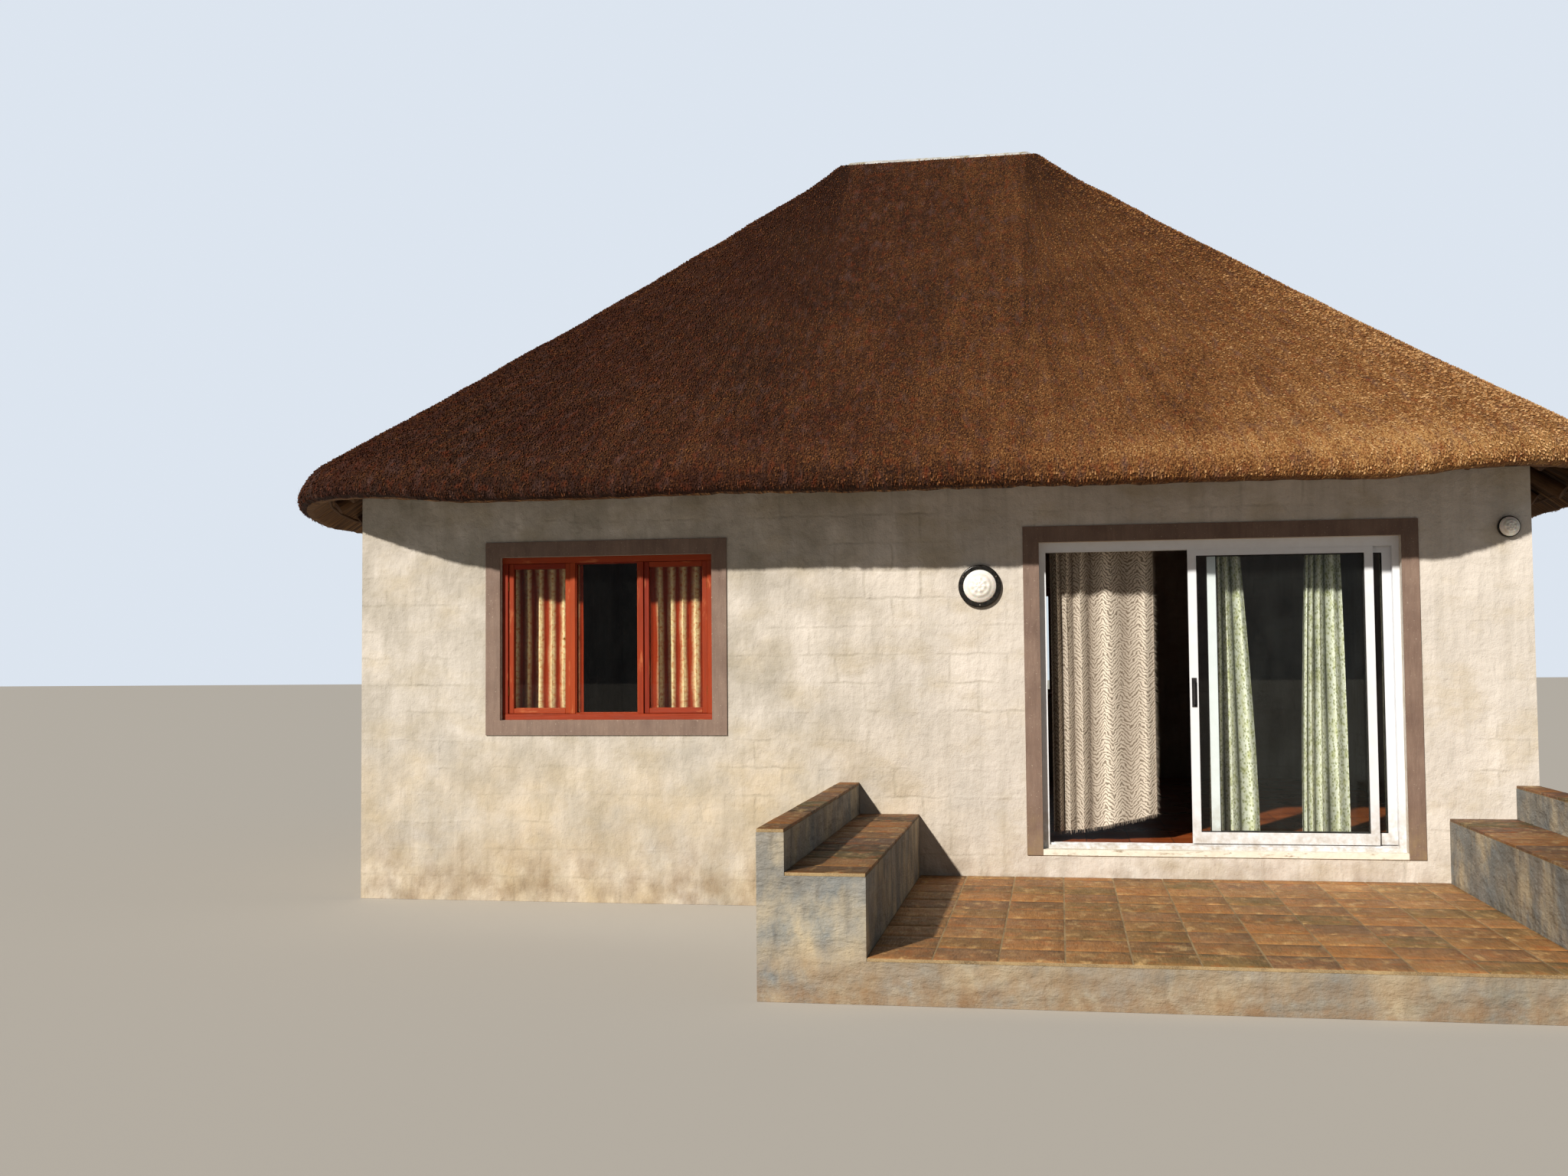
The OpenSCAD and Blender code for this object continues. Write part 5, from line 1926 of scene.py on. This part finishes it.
@dataclass
class SlidingDoor:
    """The dressed sliding door: powder-coated frame and panels, glass, rubber and screws."""

    keeper_in: float = 0.045
    keeper_y: float = -3.208
    keeper_z: float = 1.50

    def build(self) -> None:
        """Dress the door, and add its small parts and the keeper that it locks on."""
        for finish, nodes in (
                (POWDER_COAT, ("door_frame", "fixed_panel", "sliding_panel")),
                (FloatGlass("clear_door_glass", 0.006), ("fixed_glass", "sliding_glass")),
                (HANDLE_NYLON, ("door_handle",)), (ROLLER_NYLON, ("door_rollers",))):
            for node in nodes:
                dress(node, finish)
        pattern = screws()
        for body, node in ((HUT, "fixed_panel"), (SLIDING_DOOR, "sliding_panel")):
            DoorPanel(body, node).build(pattern)
        keeper = Maker()
        x, y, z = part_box("door_frame")[0].x + self.keeper_in, self.keeper_y, self.keeper_z
        keeper.beam((x, y - 0.010, z - 0.06), (x + 0.0018, y + 0.010, z + 0.06), 2, 0.0006)
        keeper.beam((x + 0.0018, y - 0.004, z - 0.015), (x + 0.0045, y + 0.004, z + 0.015), 2, 0.0008)
        settle(keeper.finish("lock_keeper", DULL_STEEL), HUT, "white_aluminium")


# -------- curtains


@dataclass
class Curtain:
    """A gathered curtain: a closed thin sheet whose folds open out towards its hem."""

    name: str
    x0: float
    x1: float
    top: float
    hem: float
    folds: float
    depth: float
    seed: float
    hem_rise: float = 0.0
    bunch: float = 0.0
    calm: float = 0.0
    gather: tuple[float, float] = (0.0, 0.0)
    rail_y: float = -2.995
    thick: float = 0.0012
    cell: float = 0.012
    rows: int = 90

    def point(self, u: float, v: float) -> Point:
        """Give the middle of the cloth at a share u across and v down.

        Args:
            u: Share of the width, from the left.
            v: Share of the drop, from the rail.

        Returns:
            The point in metres.
        """
        # The folds are uneven in width and drift down the cloth
        gathered = u + self.bunch * u * (1 - u) * (1 - u)
        drift = 0.35 * wander((u * 3.0, v * 1.1, self.seed), 1.0)
        drift += 0.12 * wander((u * 7.0, v * 2.0, self.seed), 1.0)
        phase = 2 * math.pi * self.folds * gathered + 2.6 * drift * min(1.0, v * 2.5)
        strength = 1 + 0.35 * wander((u * 5.0, v * 0.8, self.seed + 4.0), 1.0)
        deep = self.depth * (0.6 + 0.4 * min(1.0, v * 4.0)) * strength
        deep *= 1 - self.calm * min(1.0, max(0.0, 2.2 * u - 0.9))
        left, right = [side * (1 - v) ** 1.5 for side in self.gather]
        x = self.x0 + left + (self.x1 - self.x0 - left - right) * u
        x += 0.30 * deep * math.sin(2 * phase) * min(u, 1 - u, 0.06) / 0.06
        y = self.rail_y + deep * (math.sin(phase) + 0.25 * math.sin(2 * phase + 0.6)) * 0.85
        y += 0.004 * wander((x * 9, v * 6, self.seed), 1.0)
        hem = self.hem + self.hem_rise * u ** 1.5 + 0.006 * wander((u * 6, 0, self.seed), 1.0)
        return x, y, self.top + (hem - self.top) * v

    def cloth(self, finish: Finish, slot: str, rail: str, stands_for: Sequence[str] = (),
              with_pieces: Sequence[Thing] = ()) -> None:
        """Args:
            finish: The cloth's finish.
            slot: The record's material slot.
            rail: The CAD rail that it hangs from; not used.
            stands_for: The CAD nodes that it stands for.
            with_pieces: Not used.
        """
        # The flat width is the mean length along the folds, the flat length runs from rail to hem
        lines = np.array([[self.point(i / 400, v) for i in range(401)] for v in (0.1, 0.3, 0.5, 0.7, 0.9)])
        width = float(np.linalg.norm(np.diff(lines, axis=1), axis=2).sum(axis=1).mean())
        drop = self.top - self.hem - self.hem_rise * 0.4
        n, m = max(24, round(width / self.cell)), self.rows
        grid = np.array([[self.point(i / n, j / m) for j in range(m + 1)] for i in range(n + 1)])
        normals = np.cross(np.gradient(grid, axis=0), np.gradient(grid, axis=1))
        normals *= self.thick / 2 / np.linalg.norm(normals, axis=2)[:, :, None]
        sheet = np.concatenate([grid - normals, (grid + normals)[::-1]])
        around = len(sheet)
        loops = [[(i % around, j) for i, j in cell] for cell in cells(around, m)]
        for i in range(n):
            cap = (i, i + 1, around - 2 - i, around - 1 - i)
            loops += [[(c, 0) for c in cap], [(c, m) for c in reversed(cap)]]
        us = np.concatenate([[0], np.cumsum(np.linalg.norm(np.diff(grid[:, m // 2], axis=0), axis=1))])
        us, vs = np.concatenate([us, us[::-1]]), np.linspace(0, drop, m + 1)
        # Crests towards the window are 1, folds away from it are 0; this share places the painted fold shade
        crest = np.clip(0.5 - (grid[:, :, 1] - self.rail_y) / (2 * self.depth), 0, 1)
        store = Maker()
        store.add(
            sheet.reshape(-1, 3), [[i * (m + 1) + j for i, j in loop] for loop in loops],
            [(us[i], vs[j]) for loop in loops for i, j in loop], np.concatenate([crest, crest[::-1]]).ravel())
        piece = settle(store.finish(self.name, finish, smooth=70), HUT, slot, *stands_for)


@dataclass
class Curtains:
    """All curtains: cream in the open doorway, green behind the glass, gold in the window."""

    door_rail_z: float = 2.62
    window_rail_z: float = 2.59
    rail_r: float = 0.0125
    hem_z: float = 0.485
    ring_r: float = 0.0135
    ring_drop: float = 0.0022
    wire_r: float = 0.0016
    hem_strands: int = 190
    edge_strands: int = 300

    def rings(self, name: str, z: float, *runs: tuple[float, float, int]) -> Thing:
        """Hang wire rings on a rail.

        Args:
            name: The piece's name.
            z: Height of the rail.
            *runs: First place, distance and number of rings that follow each other.

        Returns:
            The rings as one piece.
        """
        made = Pattern("curtain_rings", ring=self.ring_r, wire=self.wire_r)
        loop, section = [
            made.add("GeometryNodeCurvePrimitiveCircle", {"Resolution": sides, "Radius": made.given[size]})
            for sides, size in ((18, "ring"), (6, "wire"))]
        ring = made.add("GeometryNodeCurveToMesh", {"Curve": loop, "Profile Curve": section})
        lean = made.add(
            "FunctionNodeRandomValue", {0: (0.0, 1.35, 0.0), 1: (0.0, 1.8, 0.25), 8: 5}, 0,
            data_type="FLOAT_VECTOR")
        made.hang(ring, Rotation=made.add("FunctionNodeEulerToRotation", {0: lean}))
        places = [
            (first + step * i, Curtain.rail_y, z - self.ring_drop)
            for first, step, n in runs for i in range(n)]
        return settle(made.run(guide_mesh(places), name, BRASS), HUT, "rail")

    def fringe(self, cream: Curtain) -> Thing:
        """Knot a fringe along the cream curtain's right edge and hem.

        Args:
            cream: The curtain that carries it.

        Returns:
            The strands as one piece.
        """
        made = Pattern("fringe", length=0.030, radius=0.0016, seed=21)
        strand = made.add(
            "GeometryNodeMeshCone",
            {"Vertices": 4, "Side Segments": 2, "Radius Top": 0.0004,
             "Radius Bottom": made.given["radius"], "Depth": made.given["length"]}, "Mesh")
        seed = made.given["seed"]
        sway = made.add(
            "FunctionNodeRandomValue", {0: (-0.45, -0.45, -3.1), 1: (0.45, 0.45, 3.1), 8: seed}, 0,
            data_type="FLOAT_VECTOR")
        size = made.add("FunctionNodeRandomValue", {2: 0.7, 3: 1.2, 8: seed}, 1, data_type="FLOAT")
        made.hang(strand, Rotation=made.rolled(sway, made.facing("out")), Scale=size)
        hem, edge = self.hem_strands, self.edge_strands
        places = [cream.point(i / (hem - 1), 0.998) for i in range(hem)]
        places += [cream.point(0.998, 0.02 + 0.975 * i / (edge - 1)) for i in range(edge)]
        guide = guide_mesh(places, out=[(0.0, 0.0, -1.0)] * hem + [(0.75, 0.0, -0.66)] * edge)
        return settle(made.run(guide, "cream_curtain_fringe", HerringboneCotton()), HUT, "cream_cloth")

    def build(self) -> None:
        """Hang every curtain, with its rings and fringe, and finish the rails."""
        rail, top = "door_curtain_rail", self.door_rail_z - self.rail_r
        ringed = self.rings(
            "door_curtain_rings", self.door_rail_z, (1.03, 0.085, 8), (2.05, 0.08, 5), (2.69, 0.08, 5),
            (3.235, 0.05, 2))
        cream = Curtain(
            "cream_curtain_cloth", 0.975, 1.690, top, hem=0.515, folds=5.2, depth=0.034, seed=1.3,
            hem_rise=0.13, bunch=1.6, calm=0.65)
        cream.cloth(
            HerringboneCotton(), "cream_cloth", rail, ["cream_curtain"], [self.fringe(cream), ringed])
        for number, (x0, x1, folds, gather) in enumerate((
                (2.050, 2.386, 4.3, (0.05, 0.11)), (2.668, 2.985, 4.6, (0.06, 0.03)),
                (3.218, 3.298, 1.4, (0.0, 0.0)))):
            green = Curtain(
                f"green_curtain_cloth_{number + 1}", x0, x1, top, self.hem_z, folds, depth=0.027,
                seed=3.7 + number, bunch=1.3, calm=0.5, gather=gather)
            green.cloth(PaleGreenPrint(), "green_cloth", rail, ["green_curtains"][number:])
        rail, top = "window_curtain_rail", self.window_rail_z - self.rail_r
        ringed = self.rings("window_curtain_rings", self.window_rail_z, (-3.07, 0.093, 7), (-1.955, 0.093, 7))
        for number, (x0, x1) in enumerate(((-3.093, -2.495), (-1.975, -1.377))):
            gold = Curtain(
                f"gold_curtain_cloth_{number + 1}", x0, x1, top, hem=1.265, folds=6.3, depth=0.019,
                seed=8.1 + number)
            gold.cloth(GoldenPrint(), "gold_cloth", rail, ["window_curtains"][number:], [ringed][number:])
        for node in ("door_curtain_rail", "window_curtain_rail"):
            dress(node, DULL_STEEL)


# -------- lights


@dataclass
class WallLights:
    """Two bulkhead lights: opal domes with a pressed pattern in black bases.

    The large and the small dome are given by their radius and their number of petals.
    """

    large: tuple[float, int] = (0.115, 8)
    small: tuple[float, int] = (0.065, 6)
    base_t: float = 0.032
    socket: float = 0.010
    out: float = 0.055
    ring_relief: float = 0.0016
    petal_relief: float = 0.0022
    rim_r: float = 0.132

    def dome(self, store: Maker, centre: Vector, radius: float, flutes: int) -> None:
        """Add a dome of pressed glass.

        Args:
            store: Where the dome goes.
            centre: Its middle, on the wall's face.
            radius: Its radius.
            flutes: How many petals its pressed pattern has.
        """
        low = self.base_t - self.socket + 0.0004
        sphere_r = (self.out ** 2 + radius ** 2) / (2 * self.out)
        profile = [(0.0, low), (radius, low)]
        for r in np.linspace(radius, 0, 27):
            z = self.base_t + self.out - sphere_r + math.sqrt(max(0.0, sphere_r ** 2 - r ** 2))
            profile.append((r, max(z, low + 0.0002)))

        def pressed(r: float, angle: float) -> float:
            """Press petals and rings.

            Args:
                r: Distance from the axis.
                angle: Angle round the axis.

            Returns:
                The relief there.
            """
            share = r / radius
            ring = self.ring_relief * math.cos(share * 3.5 * 2 * math.pi)
            petal = math.cos(flutes * angle) * math.sin(math.pi * min(1.0, share * 1.15)) ** 2
            petal *= self.petal_relief
            return (ring + petal - 0.0032) * min(1.0, max(0.0, 0.97 - share) * 8)

        place = Matrix.Translation(centre) @ Matrix.Rotation(math.pi / 2, 4, "X")
        store.turned(profile, place, 72, pressed, 0.1)

    def build(self) -> None:
        """Build both domes, the screws in the larger rim, and enamel the bases."""
        dress("light_bases", BLACK_ENAMEL)
        store, rims = Maker(), []
        for solid in islands("light_bases"):
            low, high = solid.min(0), solid.max(0)
            centre = Vector(((low[0] + high[0]) / 2, high[1], (low[2] + high[2]) / 2))
            large = high[0] - low[0] > 0.2
            self.dome(store, centre, *(self.large if large else self.small))
            rims += [centre + Vector((self.rim_r * math.cos(a), -self.base_t, self.rim_r * math.sin(a)))
                     for a in map(math.radians, (30, 150, 270) if large else ())]
        settle(store.finish("light_domes_pressed", OPAL_GLASS, smooth=60), HUT, "opal_glass", "light_domes")
        guide = guide_mesh(rims, out=[(0, -1, 0)] * len(rims))
        settle(screws().run(guide, "light_rim_screws", DULL_STEEL, radius=0.005), HUT, "light_black")


# -------- surroundings


@dataclass
class Surroundings:
    """A pale floor, one large soft key light, a pale surround, and the camera."""

    eye: Point = (1.03, -14.354, 1.733)
    turn: float = 9.928
    tilt: float = 2.695
    roll: float = -0.468
    lens: float = 36.0
    key_way: Point = (0.405, 0.914, -0.58)
    key_strength: float = 4.0
    key_soft: float = 1.5
    surround: str = "#e3ebf5"
    backdrop_strength: float = 0.8
    fill_strength: float = 0.22

    def camera(self) -> None:
        """Stand the camera where the picture was taken from."""
        lens = bpy.data.cameras.new("camera")
        lens.lens = self.lens
        lens.sensor_width = 36.0
        lens.clip_end = 300.0
        stand = show("camera", lens)
        place = Matrix.Translation(self.eye)
        for angle, axis in ((self.turn, "Z"), (90 + self.tilt, "X"), (self.roll, "Z")):
            place = place @ Matrix.Rotation(math.radians(angle), 4, axis)
        stand.matrix_world = place
        bpy.context.scene.camera = stand

    def lights(self) -> None:
        """Hang the key light and wrap the scene in a pale surround."""
        key = bpy.data.lights.new("key", "SUN")
        key.energy = self.key_strength
        key.angle = math.radians(self.key_soft)
        key.color = linear("#fff8ee")[:3]
        lamp = show("key", key)
        lamp.rotation_mode = "QUATERNION"
        lamp.rotation_quaternion = Vector(self.key_way).to_track_quat("-Z", "Y")
        world = bpy.data.worlds.new("pale_surround")
        world.use_nodes = True
        tree = world.node_tree
        tree.nodes.clear()
        fill, backdrop = [
            add_node(tree, "ShaderNodeBackground", {"Color": linear(self.surround), "Strength": strength})
            for strength in (self.fill_strength, self.backdrop_strength)]
        seen = add_node(tree, "ShaderNodeLightPath", out="Is Camera Ray")
        both = add_node(tree, "ShaderNodeMixShader", {0: seen, 1: fill, 2: backdrop})
        add_node(tree, "ShaderNodeOutputWorld", {"Surface": both}, None)
        scene = bpy.context.scene
        scene.world = world
        scene.view_settings.view_transform = "Standard"
        scene.view_settings.look = "Medium High Contrast"

    def floor(self) -> None:
        """Lay a plain pale floor under the hut."""
        mesh = bpy.data.meshes.new("floor")
        far, low = 120.0, -0.001
        mesh.from_pydata(
            [(-far, -far, low), (far, -far, low), (far, far, low), (-far, far, low)], [], [(0, 1, 2, 3)])
        mesh.materials.append(Layered("studio_paper", "#bab6af", rough=0.95).material())
        show("studio_floor", mesh)

    def build(self) -> None:
        """Set up everything that isn't the hut."""
        self.camera()
        self.lights()
        self.floor()


def main() -> None:
    """Build the hut's looks from the roof down."""
    logging.basicConfig(level=logging.INFO, format="%(message)s")
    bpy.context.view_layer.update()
    for part in (
        Surroundings(), ThatchRoof(), RoofTimbers(), RidgeCapping(), Masonry(), SlatePaving(),
        Windows(), SlidingDoor(), Curtains(), WallLights(),
    ):
        LOG.info("%s", type(part).__name__)
        part.build()


if __name__ == "__main__":
    main()
